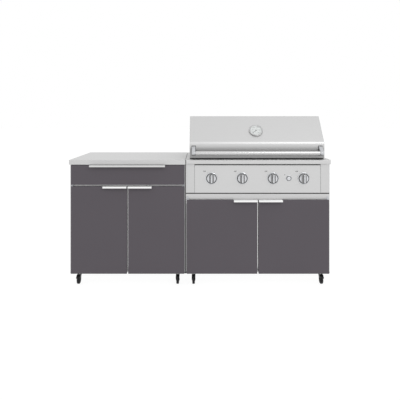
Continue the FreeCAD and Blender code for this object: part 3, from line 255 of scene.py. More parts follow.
class IslandStudio(bpy.types.PropertyGroup):
    """The camera, the lights and the floor."""

    camera_distance: FloatProperty(
        name="Camera distance", description="From the camera to the island's middle", unit="LENGTH",
        min=1, default=3.386,
    )
    camera_height: FloatProperty(
        name="Camera height", description="Height of the camera over the floor", unit="LENGTH",
        min=0, default=1.208,
    )
    camera_lens: FloatProperty(
        name="Lens", description="Focal length on a 36 mm sensor", subtype="DISTANCE_CAMERA",
        min=10, default=39.7,
    )
    camera_shift: FloatProperty(
        name="Shift", description="How far the level view is shifted down", default=-0.217,
    )
    soft_level: FloatProperty(
        name="Soft light", description="Level of the even light from all round", min=0, default=0.88,
    )
    key_power: FloatProperty(
        name="Key light", description="Power of the large light in front", unit="POWER",
        min=0, default=30,
    )
    key_width: FloatProperty(
        name="Key width", description="Width of the large light", unit="LENGTH", min=0.1, default=2.2,
    )
    key_height: FloatProperty(
        name="Key height", description="Height of the large light", unit="LENGTH", min=0.1, default=0.7,
    )
    key_place: FloatVectorProperty(
        name="Key place", description="Where the middle of the large light is", subtype="TRANSLATION",
        size=3, default=(1.8, -3.55, 3.85),
    )
    key_aim: FloatVectorProperty(
        name="Key aim", description="The point that the large light is turned to", subtype="TRANSLATION",
        size=3, default=(0.5, -0.24, 1.0),
    )
    floor_size: FloatProperty(
        name="Floor size", description="Length of the floor's sides", unit="LENGTH", min=5, default=60,
    )
    floor_shade: FloatProperty(
        name="Floor shade", description="How much of the floor's white is left to the light",
        subtype="FACTOR", min=0, max=1, default=0.12,
    )


class Signal:
    """An output socket. Python's operators on it add the Math nodes that work them out."""

    def __init__(self, tree, socket):
        self.tree = tree
        self.socket = socket

    def worked(self, operation, first, second=0.0):
        return self.tree.add("ShaderNodeMath", {"operation": operation}, {0: first, 1: second})

    def __add__(self, other):
        return self.worked("ADD", self, other)

    def __radd__(self, other):
        return self.worked("ADD", other, self)

    def __sub__(self, other):
        return self.worked("SUBTRACT", self, other)

    def __rsub__(self, other):
        return self.worked("SUBTRACT", other, self)

    def __mul__(self, other):
        return self.worked("MULTIPLY", self, other)

    def __rmul__(self, other):
        return self.worked("MULTIPLY", other, self)

    def __truediv__(self, other):
        return self.worked("DIVIDE", self, other)

    def __rtruediv__(self, other):
        return self.worked("DIVIDE", other, self)

    def sine(self):
        return self.worked("SINE", self)

    def cosine(self):
        return self.worked("COSINE", self)

    def larger(self, other):
        return self.worked("MAXIMUM", self, other)


class Tree:
    """A node tree that is filled by a node's type, its settings and its sockets' values or links."""

    def __init__(self, tree):
        self.tree = tree

    def add(self, kind, settings=None, sockets=None, output=0):
        """Add a node. Returns one of its outputs, or the node itself if it has none."""
        node = self.tree.nodes.new(kind)
        for name, value in (settings or {}).items():
            setattr(node, name, value)
        for name, value in (sockets or {}).items():
            self.feed(node.inputs[name], value)
        return Signal(self, node.outputs[output]) if node.outputs else node

    def feed(self, socket, value):
        """Set a socket to a value, or link it to one signal or to each of a list of them."""
        if isinstance(value, Signal):
            self.tree.links.new(value.socket, socket)
        elif isinstance(value, list):
            for item in value:
                self.feed(socket, item)
        else:
            socket.default_value = value

    def vector(self, x=0.0, y=0.0, z=0.0):
        return self.add("ShaderNodeCombineXYZ", None, {"X": x, "Y": y, "Z": z})


class Finish(Tree):
    """A material's tree around one main shader."""

    def __init__(self, name):
        self.material = bpy.data.materials.new(name)
        self.material.use_nodes = True
        super().__init__(self.material.node_tree)
        self.tree.nodes.clear()
        self.main = self.tree.nodes.new("ShaderNodeBsdfPrincipled")
        output = self.tree.nodes.new("ShaderNodeOutputMaterial")
        self.tree.links.new(self.main.outputs[0], output.inputs["Surface"])
        self.place = self.add("ShaderNodeTexCoord", output="Object")

    def noise(self, scale, detail=2.0):
        """Noise whose grain is 1 / scale long, in metres, along all axes or along each."""
        scales = scale if isinstance(scale, tuple) else (scale, scale, scale)
        mapped = self.add("ShaderNodeMapping", None, {"Vector": self.place, "Scale": scales})
        return self.add("ShaderNodeTexNoise", None, {"Vector": mapped, "Scale": 1.0, "Detail": detail})

    def between(self, amount, first, second):
        """A colour on the way from the first to the second."""
        sockets = {0: amount, 6: (*first, 1.0), 7: (*second, 1.0)}
        return self.add("ShaderNodeMix", {"data_type": "RGBA"}, sockets, output=2)

    def varied(self, amount, color, below, above):
        """A colour's shades, from below its own to above it."""
        return self.between(amount, shaded(color, 1 - below), shaded(color, 1 + above))

    def set(self, **sockets):
        """Set the main shader's sockets, named in lower case with underscores."""
        for name, value in sockets.items():
            title = name.replace("_", " ")
            self.feed(next(item for item in self.main.inputs if item.name.lower() == title), value)

    def bump(self, height, distance, strength=1.0):
        sockets = {"Height": height, "Distance": distance, "Strength": strength}
        self.set(normal=self.add("ShaderNodeBump", None, sockets))


def shaded(color, factor):
    return tuple(min(1.0, channel * factor) for channel in color)


def brushed(name, color, roughness, along="x", contrast=0.045, darkened=None):
    """Sheet metal brushed along one axis: long fine streaks, faint clouds and a fine relief."""
    fine, long, broad, relief = 1500.0, 5.0, 160.0, 0.05 * MM
    finish = Finish(name)
    streak = finish.noise(tuple(long if axis == along else fine for axis in "xyz"), detail=3.0)
    band = finish.noise(tuple(long if axis == along else broad for axis in "xyz"))
    cloud = finish.noise(2.2)
    tone = finish.varied(streak * 0.55 + band * 0.25 + cloud * 0.2, color, contrast, contrast)
    # Where a shade painter is given, it paints shade into the base colour.
    finish.set(
        base_color=darkened(finish, tone) if darkened else tone,
        roughness=streak * 0.10 + cloud * 0.06 + (roughness - 0.08),
        metallic=1.0,
    )
    finish.bump(streak, relief)
    return finish.material


def darkened_front(finish, tone):
    """Painted shade: the hood's front is painted darker behind its bar, and the shade fades out into the
    bend above.
    """
    depth, above, fade, behind = 0.42, 54 * MM, 42 * MM, 20 * MM
    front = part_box("hood_skin")[0]
    mask = depth
    for axis, start, end in (
        ("Z", front.z + above, front.z + above + fade),
        ("Y", front.y + behind, front.y + behind * 2),
    ):
        place = finish.add("ShaderNodeSeparateXYZ", None, {"Vector": finish.place}, output=axis)
        sockets = {"Value": place, "From Min": start, "From Max": end, "To Min": 1.0, "To Max": 0.0}
        mask = mask * finish.add("ShaderNodeMapRange", {"interpolation_type": "SMOOTHSTEP"}, sockets)
    sockets = {0: mask, 6: tone, 7: (0.0, 0.0, 0.0, 1.0)}
    return finish.add("ShaderNodeMix", {"data_type": "RGBA"}, sockets, output=2)


def powder_coat(name, color, roughness):
    """Baked paint: a fine orange-peel skin with a little variation of tone and gloss."""
    finish = Finish(name)
    peel = finish.noise(420.0)
    speck = finish.noise(2600.0, detail=1.0)
    cloud = finish.noise(3.0)
    finish.set(
        base_color=finish.varied(cloud * 0.6 + speck * 0.4, color, 0.06, 0.06),
        roughness=peel * 0.08 + cloud * 0.06 + (roughness - 0.07),
        specular_ior_level=0.35,
    )
    finish.bump(peel * 0.7 + speck * 0.3, 0.06 * MM, strength=0.6)
    return finish.material


def plated(name, color, roughness, grain=300.0, contrast=0.04, relief=0.01):
    """Plated, polished or satin metal: an even skin with faint handling marks."""
    finish = Finish(name)
    grains = finish.noise(grain, detail=3.0)
    smudge = finish.noise(14.0, detail=3.0)
    finish.set(
        base_color=finish.varied(smudge, color, contrast, contrast),
        roughness=smudge * 0.10 + grains * 0.05 + (roughness - 0.07),
        metallic=1.0,
    )
    finish.bump(grains, relief * MM, strength=0.4)
    return finish.material


def galvanised(name, color, roughness):
    """Zinc-plated steel: a mottle of small crystals that differ in tone and gloss."""
    finish = Finish(name)
    size = (180, 180, 180)
    mapped = finish.add("ShaderNodeMapping", None, {"Vector": finish.place, "Scale": size})
    crystal = finish.add("ShaderNodeTexVoronoi", {"feature": "F1"}, {"Vector": mapped, "Scale": 1.0})
    mottle = crystal * 0.6 + finish.noise(30.0) * 0.4
    finish.set(
        base_color=finish.varied(mottle, color, 0.14, 0.1),
        roughness=mottle * 0.16 + (roughness - 0.08),
        metallic=1.0,
    )
    finish.bump(crystal, 0.02 * MM, strength=0.4)
    return finish.material


def enamelled(name, color, roughness, pits):
    """Glassy enamel over sheet or cast iron, which shows the iron's own unevenness."""
    finish = Finish(name)
    wave = finish.noise(pits, detail=3.0)
    fine = finish.noise(pits * 6)
    finish.set(
        base_color=finish.varied(wave, color, 0.3, 0.4),
        roughness=wave * 0.16 + (roughness - 0.08),
        coat_weight=0.3,
        coat_roughness=0.15,
    )
    finish.bump(wave * 0.7 + fine * 0.3, 0.15 * MM, strength=0.6)
    return finish.material


def moulded(name, color, roughness, grain, relief, shine=0.5):
    """Rubber or plastic with a fine moulded grain and faint scuffs, or a matt ink."""
    finish = Finish(name)
    grains = finish.noise(grain)
    scuff = finish.noise(60.0, detail=4.0)
    finish.set(
        base_color=finish.varied(scuff, color, 0.25, 0.5),
        roughness=scuff * 0.2 + (roughness - 0.1),
        specular_ior_level=shine,
    )
    finish.bump(grains, relief * MM, strength=0.6)
    return finish.material


def burnt_steel(name, color, roughness):
    """Burner steel, straw-coloured where the heat has tinted it."""
    straw = (0.5, 0.42, 0.33)
    finish = Finish(name)
    heat = finish.noise(9.0, detail=3.0)
    finish.set(
        base_color=finish.between(heat, straw, color),
        roughness=heat * 0.12 + (roughness - 0.06),
        metallic=1.0,
    )
    finish.bump(finish.noise((700.0, 60.0, 700.0)), 0.02 * MM, strength=0.5)
    return finish.material


def lens(name):
    """The thermometer's thin clear cover."""
    finish = Finish(name)
    haze = finish.noise(80.0)
    finish.set(
        base_color=(0.95, 0.97, 0.97, 1.0),
        roughness=haze * 0.03 + 0.02,
        alpha=0.10,
    )
    return finish.material


def make_finish(name, slot, along):
    """The finish of one of the record's material slots."""
    wanted = bpy.context.scene.island_finishes
    dull = wanted.steel_roughness
    color = COLORS[slot]
    black = {"color": shaded(color, 0.6), "shine": 0.25}
    makers = {
        "stainless_steel": lambda: brushed(name, wanted.steel, dull, along),
        "carcass_steel": lambda: brushed(name, wanted.carcass, dull - 0.04, along),
        "slate_paint": lambda: powder_coat(name, wanted.paint, wanted.paint_roughness),
        # The edge pulls' metal, lighter than its slot's colour: painted light.
        "pull_metal": lambda: brushed(name, wanted.pulls, 0.30, along, contrast=0.03),
        "polished_steel": lambda: plated(name, shaded(color, 0.85), 0.22),
        "cast_metal": lambda: brushed(name, shaded(color, 0.85), 0.42, along, contrast=0.04),
        "knob_metal": lambda: plated(name, color, 0.22, grain=500.0),
        "zinc_steel": lambda: galvanised(name, color, 0.42),
        "needle_paint": lambda: moulded(name, (0.16, 0.16, 0.16), 0.5, grain=900.0, relief=0.01),
        "black_enamel": lambda: enamelled(name, color, 0.3, pits=40.0),
        "grate_iron": lambda: enamelled(name, color, 0.5, pits=220.0),
        "burner_steel": lambda: burnt_steel(name, color, 0.35),
        "gas_pipe_metal": lambda: plated(name, color, 0.38, grain=250.0, contrast=0.06, relief=0.03),
        "black_metal": lambda: moulded(name, roughness=0.5, grain=500.0, relief=0.05, **black),
        "wheel_rubber": lambda: moulded(name, roughness=0.7, grain=350.0, relief=0.08, **black),
    }
    return makers[slot]()


def finish_of(slot, along="x"):
    name = "finish_" + slot + ("" if along == "x" else "_along_" + along)
    return bpy.data.materials.get(name) or make_finish(name, slot, along)


def shared(name, maker, *settings, **more):
    """The material of that name, made by its maker the first time it is wanted."""
    return bpy.data.materials.get(name) or maker(name, *settings, **more)


# Black rubber for the strips laid in joints and gaps, where it stands in for their shade: painted shade.
def seal_rubber():
    return shared("seal_rubber", moulded, (0.03, 0.03, 0.031), 0.7, grain=350.0, relief=0.04, shine=0.2)


def node_finish(node):
    """A node's own finish, where it differs from its slot's, or else the slot's."""
    wanted = bpy.context.scene.island_finishes
    dull = wanted.steel_roughness
    if node in ("cupboard_sides", "grill_cabinet_sides"):
        return shared("casing_steel", brushed, wanted.casing, 0.5, "z")
    if node in ("worktop", "grill_top_frame"):
        # A lighter copy of the steel, making up for the light its rougher finish gives back less: painted
        # light.
        return shared("top_steel", brushed, shaded(wanted.steel, 1.02), dull + 0.11)
    if node == "hood_skin":
        # The hood's steel: a darker copy of the steel, where the hood catches more of the key light, with
        # painted shade behind its handle bar.
        steel = shaded(wanted.steel, 0.97)
        return shared("hood_steel", brushed, steel, dull - 0.08, darkened=darkened_front)
    # The drawer's pull: a darker copy of the pulls' metal, as painted shade.
    if node == "drawer_pull":
        return shared("drawer_pull_steel", brushed, wanted.drawer_pull, 0.34, contrast=0.03)
    return finish_of(SLOTS[node], GRAIN.get(node, "x"))


def new_piece(name, mesh):
    piece = bpy.data.objects.new(name, mesh)
    bpy.context.scene.collection.objects.link(piece)
    return piece


def plain(piece):
    """The piece with its modifiers worked into an ordinary mesh."""
    bpy.context.view_layer.update()
    graph = bpy.context.evaluated_depsgraph_get()
    before = piece.data
    made = bpy.data.meshes.new_from_object(
        piece.evaluated_get(graph), preserve_all_data_layers=True, depsgraph=graph
    )
    piece.modifiers.clear()
    piece.data = made
    bpy.data.meshes.remove(before)
    made.name = piece.name
    return piece


def hand_over(piece, body, stands_for=()):
    """Let a finished piece ride on a body and, where it does, stand for solids of the frame."""
    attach(piece, body)
    if stands_for:
        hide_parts(*stands_for)


def joined(name, pieces):
    with bpy.context.temp_override(active_object=pieces[0], selected_editable_objects=pieces):
        bpy.ops.object.join()
    pieces[0].name = name
    pieces[0].data.name = name
    return pieces[0]


def body_of(node):
    return frame["nodes"][node]["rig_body"]


def middle(node):
    low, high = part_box(node)
    return (low + high) / 2


def edge_of(node):
    """How far a node's edges are softened, in millimetres."""
    if node.endswith("_door"):
        return DOOR_EDGE
    if node.endswith("_pull"):
        return PULL_EDGE
    return OTHER_EDGES.get(node, EDGE)


def soften(node):
    """A copy of a node's solid with softened edges, which stands for the node."""
    mesh = frame["nodes"][node].data.copy()
    if "custom_normal" in mesh.attributes:
        mesh.attributes.remove(mesh.attributes["custom_normal"])
    shape = bmesh.new()
    shape.from_mesh(mesh)
    bmesh.ops.remove_doubles(shape, verts=shape.verts, dist=WELD)
    bmesh.ops.dissolve_limit(shape, angle_limit=FLAT_ANGLE, verts=shape.verts, edges=shape.edges)
    for face in shape.faces:
        face.smooth = True
    shape.to_mesh(mesh)
    shape.free()
    mesh.materials.clear()
    mesh.materials.append(node_finish(node))
    piece = new_piece("finished_" + node, mesh)
    edges = piece.modifiers.new("edges", "BEVEL")
    edges.width = edge_of(node) * MM
    edges.segments = 2
    edges.limit_method = "ANGLE"
    edges.angle_limit = SHARP_ANGLE
    edges.use_clamp_overlap = True
    flats = piece.modifiers.new("flats", "WEIGHTED_NORMAL")
    flats.mode = "FACE_AREA"
    flats.weight = 100
    hand_over(plain(piece), body_of(node), [node])


class Shape:
    """A mesh in the making, out of turned and block-shaped parts."""

    def __init__(self):
        self.mesh = bmesh.new()

    def add_face(self, corners, paint):
        face = self.mesh.faces.new(corners)
        face.smooth = True
        face.material_index = paint

    def turned(self, profile, place=Matrix(), closed=False, paint=0, steps=TURN_STEPS):
        """Turn (radius, height) points about the local Z axis. A closed profile makes a ring."""
        rings = []
        for radius, height in profile:
            count = steps if radius > 0 else 1
            angles = [2 * math.pi * step / count for step in range(count)]
            points = [Vector((radius * math.cos(a), radius * math.sin(a), height)) for a in angles]
            rings.append([self.mesh.verts.new(place @ point) for point in points])
        following = rings[1:] + rings[:1] if closed else rings[1:]
        for low, high in zip(rings, following):
            for step in range(steps):
                after = (step + 1) % steps
                if len(low) == 1:
                    self.add_face((low[0], high[after], high[step]), paint)
                elif len(high) == 1:
                    self.add_face((low[step], low[after], high[0]), paint)
                else:
                    self.add_face((low[step], low[after], high[after], high[step]), paint)

    def block(self, low, high, place=Matrix(), radius=0.0, paint=0):
        """A block between two corners, with rounded edges where it has a radius."""
        low, high = Vector(low), Vector(high)
        made = bmesh.ops.create_cube(self.mesh, size=1.0)["verts"]
        for vert in made:
            vert.co = (low + high) / 2 + vert.co * (high - low)
        if radius > 0:
            edges = list({edge for vert in made for edge in vert.link_edges})
            rounded = bmesh.ops.bevel(
                self.mesh, geom=edges, offset=radius, segments=2, affect="EDGES", profile=0.5,
                clamp_overlap=True,
            )
            made = list({vert for face in rounded["faces"] for vert in face.verts})
        for vert in made:
            vert.co = place @ vert.co
        for face in {face for vert in made for face in vert.link_faces}:
            face.smooth = True
            face.material_index = paint

    def piece(self, name, materials):
        bmesh.ops.recalc_face_normals(self.mesh, faces=self.mesh.faces)
        mesh = bpy.data.meshes.new(name)
        self.mesh.to_mesh(mesh)
        self.mesh.free()
        for material in materials:
            mesh.materials.append(material)
        piece = new_piece(name, mesh)
        flats = piece.modifiers.new("flats", "WEIGHTED_NORMAL")
        flats.mode = "FACE_AREA_WITH_ANGLE"
        return plain(piece)


def arc(centre, radius, start, end, steps=5):
    """Points of an arc between two angles in degrees, for a turned profile."""
    angles = [math.radians(start + (end - start) * step / steps) for step in range(steps + 1)]
    return [(centre[0] + radius * math.cos(a), centre[1] + radius * math.sin(a)) for a in angles]


def in_mm(profile):
    return [(radius * MM, height * MM) for radius, height in profile]


class Growth(Tree):
    """A Geometry Nodes tree with named inputs, which ends in plain geometry of one material."""

    kinds = {float: "NodeSocketFloat", int: "NodeSocketInt", tuple: "NodeSocketVector"}

    def __init__(self, name, **defaults):
        super().__init__(bpy.data.node_groups.new(name, "GeometryNodeTree"))
        face = self.tree.interface
        face.new_socket("Geometry", in_out="OUTPUT", socket_type="NodeSocketGeometry")
        face.new_socket("Geometry", in_out="INPUT", socket_type="NodeSocketGeometry")
        for key, value in defaults.items():
            socket = face.new_socket(self.title(key), in_out="INPUT", socket_type=self.kinds[type(value)])
            socket.default_value = value
        face.new_socket("Material", in_out="INPUT", socket_type="NodeSocketMaterial")
        self.source = self.tree.nodes.new("NodeGroupInput")

    @staticmethod
    def title(key):
        return key.replace("_", " ").title()

    def input(self, key):
        return Signal(self, self.source.outputs[self.title(key)])

    def copies(self, points, solid, **turned):
        """Copies of a solid on points, which may be turned and scaled."""
        sockets = {"Points": points, "Instance": solid, **turned}
        return self.add("GeometryNodeInstanceOnPoints", None, sockets)

    def row(self, solid, axis, count, pitch):
        """Copies of a solid at even steps along X or Y, with their middle at the origin."""
        start = self.vector(**{axis: (count - 1.0) * pitch * -0.5})
        line = {"Count": count, "Start Location": start, "Offset": self.vector(**{axis: pitch})}
        return self.copies(self.add("GeometryNodeMeshLine", None, line), solid)

    def end(self, geometry, smooth=True):
        real = self.add("GeometryNodeRealizeInstances", None, {"Geometry": geometry})
        shade = self.add("GeometryNodeSetShadeSmooth", None, {"Geometry": real, "Shade Smooth": smooth})
        sockets = {"Geometry": shade, "Material": self.input("material")}
        done = self.add("GeometryNodeSetMaterial", None, sockets)
        sink = self.tree.nodes.new("NodeGroupOutput")
        self.tree.links.new(done.socket, sink.inputs["Geometry"])
        return self


def rivets():
    """Flattened domes on the given points, turned to face one way."""
    tree = Growth("rivets", radius=0.003, height=0.001, facing=(0.0, 0.0, 0.0))
    sphere = {"Segments": 16, "Rings": 8, "Radius": tree.input("radius")}
    dome = tree.add("GeometryNodeMeshUVSphere", None, sphere)
    flat = tree.vector(1.0, 1.0, tree.input("height") / tree.input("radius"))
    return tree.end(tree.copies(tree.input("geometry"), dome, Rotation=tree.input("facing"), Scale=flat))


def bolts():
    """Hexagon heads on washers, on the given points."""
    tree = Growth("bolts", radius=0.004, height=0.003, facing=(0.0, 0.0, 0.0))
    radius, height = tree.input("radius"), tree.input("height")
    parts = []
    for sides, wide, high, rise in ((6, 1.0, 1.0, 0.75), (20, 1.45, 0.3, 0.15)):
        size = {"Vertices": sides, "Radius": radius * wide, "Depth": height * high}
        solid = tree.add("GeometryNodeMeshCylinder", None, size)
        lift = tree.vector(0.0, 0.0, height * rise)
        parts.append(tree.add("GeometryNodeTransform", None, {"Geometry": solid, "Translation": lift}))
    both = tree.add("GeometryNodeJoinGeometry", None, {"Geometry": parts})
    heads = tree.copies(tree.input("geometry"), both, Rotation=tree.input("facing"))
    return tree.end(heads, smooth=False)


def ports():
    """Small round holes, drawn as black discs a hair above the surface they are in: painted shade of the
    holes.
    """
    tree = Growth("ports", radius=0.001, height=0.0002, facing=(0.0, 0.0, 0.0))
    size = {"Vertices": 10, "Radius": tree.input("radius"), "Depth": tree.input("height")}
    disc = tree.add("GeometryNodeMeshCylinder", None, size)
    discs = tree.copies(tree.input("geometry"), disc, Rotation=tree.input("facing"))
    return tree.end(discs, smooth=False)


def spokes():
    """Blocks at even steps round an arc, each pointing at the middle."""
    tree = Growth(
        "spokes", count=8, radius=0.02, start=0.0, sweep=math.pi, width=0.002, length=0.01, height=0.01
    )
    angle = tree.input("start") + tree.input("sweep") * tree.add("GeometryNodeInputIndex")
    radius = tree.input("radius")
    where = tree.vector(angle.sine() * radius * -1.0, angle.cosine() * radius, 0.0)
    points = tree.add("GeometryNodePoints", None, {"Count": tree.input("count"), "Position": where})
    size = tree.vector(tree.input("width"), tree.input("length"), tree.input("height"))
    block = tree.add("GeometryNodeMeshCube", None, {"Size": size})
    return tree.end(tree.copies(points, block, Rotation=tree.vector(z=angle)), smooth=False)


def rods():
    """Frames of round bar, each crossed by even rods and by a few ribs, side by side along X."""
    tree = Growth(
        "rods", width=0.3, depth=0.4, bar_radius=0.004, rod_count=10, rod_pitch=0.02,
        rib_count=2, copies=3, copy_pitch=0.3,
    )
    width, depth, radius = tree.input("width"), tree.input("depth"), tree.input("bar_radius")
    section = tree.add("GeometryNodeCurvePrimitiveCircle", None, {"Resolution": 10, "Radius": radius})
    outline = {"Width": width, "Height": depth}
    edge = tree.add("GeometryNodeCurvePrimitiveQuadrilateral", {"mode": "RECTANGLE"}, outline)
    corner = {"Curve": edge, "Radius": radius * 2.0, "Count": 5}
    edge = tree.add("GeometryNodeFilletCurve", {"mode": "POLY"}, corner)
    parts = [tree.add("GeometryNodeCurveToMesh", None, {"Curve": edge, "Profile Curve": section})]
    rods_across = ("x", tree.input("rod_count"), tree.input("rod_pitch"))
    ribs_across = ("y", tree.input("rib_count"), depth / (tree.input("rib_count") + 1.0))
    for axis, length, row in (("y", depth, rods_across), ("x", width, ribs_across)):
        start, end = tree.vector(**{axis: length * -0.5}), tree.vector(**{axis: length * 0.5})
        line = tree.add("GeometryNodeCurvePrimitiveLine", None, {"Start": start, "End": end})
        solid = {"Curve": line, "Profile Curve": section, "Fill Caps": True}
        parts.append(tree.row(tree.add("GeometryNodeCurveToMesh", None, solid), *row))
    whole = tree.add("GeometryNodeJoinGeometry", None, {"Geometry": parts})
    return tree.end(tree.row(whole, "x", tree.input("copies"), tree.input("copy_pitch")))


def grow(name, maker, material, place=Matrix(), points=(), **values):
    """A piece grown by a Geometry Nodes tree on the given points, and turned into a plain mesh."""
    group = bpy.data.node_groups.get(maker.__name__) or maker().tree
    mesh = bpy.data.meshes.new(name)
    mesh.from_pydata([tuple(point) for point in points], [], [])
    piece = new_piece(name, mesh)
    growth = piece.modifiers.new("growth", "NODES")
    growth.node_group = group
    wanted = {Growth.title(key): value for key, value in values.items()}
    wanted["Material"] = material
    for item in group.interface.items_tree:
        if item.item_type == "SOCKET" and item.in_out == "INPUT" and item.name in wanted:
            growth[item.identifier] = wanted.pop(item.name)
    if wanted:
        raise ValueError(name + " has no input named " + ", ".join(wanted))
    piece = plain(piece)
    if not piece.data.polygons:
        raise ValueError(name + " came out with no faces")
    piece.data.transform(place)
    return piece


def lettering(name, text, size, place, material, bold=0.0):
    """Letters as thin as print, as a plain mesh."""
    thick = 0.1 * MM
    curve = bpy.data.curves.new(name, "FONT")
    curve.body = text
    curve.size = size
    curve.align_x = "CENTER"
    curve.align_y = "CENTER"
    curve.extrude = thick / 2
    curve.offset = bold
    letters = new_piece(name + "_curve", curve)
    bpy.context.view_layer.update()
    graph = bpy.context.evaluated_depsgraph_get()
    mesh = bpy.data.meshes.new_from_object(letters.evaluated_get(graph))
    bpy.data.objects.remove(letters)
    mesh.transform(place)
    mesh.materials.clear()
    mesh.materials.append(material)
    return new_piece(name, mesh)


def facing_front(point):
    """A place on a front panel: local Z comes towards the viewer, local Y points up."""
    return Matrix.Translation(point) @ Matrix.Rotation(math.radians(90), 4, "X")


def spread(start, end, pitch):
    """Even places between two ends, about one pitch apart."""
    count = max(1, round((end - start) / pitch))
    return [start + (end - start) * step / count for step in range(count + 1)]


def joint_place(name):
    return Vector(JOINTS[name]["pos_m"])


def finish_nodes():
    """Give every solid of the frame the finish of its slot."""
    for node, solid in frame["nodes"].items():
        solid.data.materials.clear()
        solid.data.materials.append(node_finish(node))


def knob_height(x, along):
    """How high a knob's front stands, in millimetres, across it and along its grip (-1 to 1)."""
    side = abs(x)
    for (inner, high), (outer, low) in zip(KNOB_SECTION, KNOB_SECTION[1:]):
        if side <= outer:
            height = high + (low - high) * (side - inner) / (outer - inner)
            break
    rounding = min(1.0, (1 - abs(along)) / KNOB_END)
    return KNOB_RIM + (height - KNOB_RIM) * math.sqrt(rounding * (2 - rounding))


def knob_front(shape, place):
    """A knob's front, in columns of points across its grip. Returns the points of its rim."""
    radius, nudge = KNOB_SECTION[-1][0], 0.01
    sides = [point[0] for point in KNOB_SECTION]
    columns = [-side for side in reversed(sides[1:])] + sides
    spots = [math.sin(math.radians(180 * row / KNOB_ROWS - 90)) for row in range(KNOB_ROWS + 1)]
    grid = []
    for x in columns:
        reach = math.sqrt(max(0.0, radius ** 2 - x ** 2))
        points = [(x, reach * spot, knob_height(x, spot)) for spot in spots]
        if reach == 0:
            points = points[:1]
        grid.append([shape.mesh.verts.new(place @ (Vector(point) * MM)) for point in points])
    for left, right, x in zip(grid, grid[1:], columns):
        # Strips painted with the darker metal: painted shade in the grooves.
        dark = KNOB_SHADED_STRIPS[0] <= abs(x + nudge) <= KNOB_SHADED_STRIPS[1]
        for row in range(KNOB_ROWS):
            corners = [left[min(row, len(left) - 1)], right[min(row, len(right) - 1)]]
            corners += [right[min(row + 1, len(right) - 1)], left[min(row + 1, len(left) - 1)]]
            shape.add_face(list(dict.fromkeys(corners)), KNOB_DARK if dark else KNOB_METAL)
    return [column[0] for column in grid] + [column[-1] for column in reversed(grid[1:-1])]


def knob_skirt(shape, place, rim):
    """The wall round a knob, a millimetre wider than its front and drawn in at its back."""
    flare, drawn, bevel = 1 + 1 / KNOB_SECTION[-1][0], 0.97, 1.5
    rings = [rim]
    for scale, height in ((flare, KNOB_RIM - 1.2), (flare, KNOB_BACK + bevel), (drawn, KNOB_BACK)):
        ring = []
        for vert in rim:
            spot = place.inverted() @ vert.co
            spot = Vector((spot.x * scale, spot.y * scale, height * MM))
            ring.append(shape.mesh.verts.new(place @ spot))
        rings.append(ring)
    for high, low in zip(rings, rings[1:]):
        for step in range(len(rim)):
            after = (step + 1) % len(rim)
            shape.add_face((high[step], low[step], low[after], high[after]), KNOB_METAL)
    shape.add_face(rings[-1], KNOB_METAL)


def make_knobs():
    """The four control knobs: a round skirt with a scoop on each side of an upright grip."""
    ink = shared("pointer_black", moulded, (0.02, 0.02, 0.02), 0.5, grain=800.0, relief=0.01)
    # A darker plated metal for the grooves beside the grip: painted shade.
    shade_metal = shared("knob_groove", plated, (0.5, 0.5, 0.5), 0.4)
    top = KNOB_SECTION[0][1]
    pointer = (Vector((-0.6, 13.0, top - 0.8)) * MM, Vector((0.6, 23.0, top + 0.1)) * MM)
    for node in KNOBS:
        place = facing_front(joint_place(node + "_turn"))
        shape = Shape()
        rim = knob_front(shape, place)
        knob_skirt(shape, place, rim)
        shape.block(*pointer, place, paint=KNOB_POINTER)
        piece = shape.piece("turned_" + node, [finish_of("knob_metal"), ink, shade_metal])
        hand_over(piece, body_of(node), [node])


def make_bezels():
    """The polished rings round the knobs and the igniter button, each with an inner lip painted black as
    painted shade.
    """
    metal = finish_of("polished_steel")
    # Black on the inner lips: painted shade round each knob and the button.
    shade_lip = shared("bezel_lip", moulded, (0.03, 0.03, 0.032), 0.4, grain=600.0, relief=0.01)
    button = middle("igniter_button")
    button.y = joint_place("knob_1_turn").y
    sections = (
        (
            [joint_place(knob + "_turn") for knob in KNOBS],
            [(37.0, 0.0), (43.0, 0.0), (43.0, 1.6), (42.6, 2.2), (38.0, 4.9), (37.4, 4.9), (37.0, 4.4)],
            [(33.0, 0.0), (37.2, 0.0), (37.2, 2.6), (35.8, 3.0), (33.4, 2.2), (33.0, 1.8)],
        ),
        (
            [button],
            [(17.0, 0.0), (21.0, 0.0), (21.0, 1.2), (20.7, 1.6), (17.8, 3.3), (17.3, 3.3), (17.0, 2.9)],
            [(13.8, 0.0), (17.2, 0.0), (17.2, 1.8), (16.0, 2.2), (14.2, 1.8), (13.8, 1.4)],
        ),
    )
    shape = Shape()
    for points, ring, inner in sections:
        for point in points:
            shape.turned(in_mm(ring), facing_front(point), closed=True)
            shape.turned(in_mm(inner), facing_front(point), closed=True, paint=1)
    piece = shape.piece("turned_bezels", [metal, shade_lip])
    hand_over(piece, body_of("knob_bezels"), ["knob_bezels"])


def make_button():
    """The igniter button, with a rounded rim and a shallow dish for the finger."""
    low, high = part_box("igniter_button")
    centre = (low + high) / 2
    radius, corner = (high.x - low.x) / 2 / MM, 1.8
    length = (high.y - low.y) / MM
    place = facing_front(Vector((centre.x, high.y, centre.z)))
    profile = in_mm([
        (0.0, 0.0), (radius, 0.0), (radius, length - corner),
        *arc((radius - corner, length - corner), corner, 0, 90),
        (radius - corner * 2, length - 0.4), (5.0, length - 1.2), (0.0, length - 1.4),
    ])
    shape = Shape()
    shape.turned(profile, place)
    piece = shape.piece("turned_igniter_button", [finish_of("knob_metal")])
    hand_over(piece, body_of("igniter_button"), ["igniter_button"])


def thermometer_place():
    """The middle of the case's back, with local Z along the needle's axis, out of the hood."""
    joint = JOINTS["needle_turn"]
    outward = -Vector(joint["axis"])
    lean = math.atan2(-outward.y, outward.z)
    return Matrix.Translation(joint["pos_m"]) @ Matrix.Rotation(lean, 4, "X")


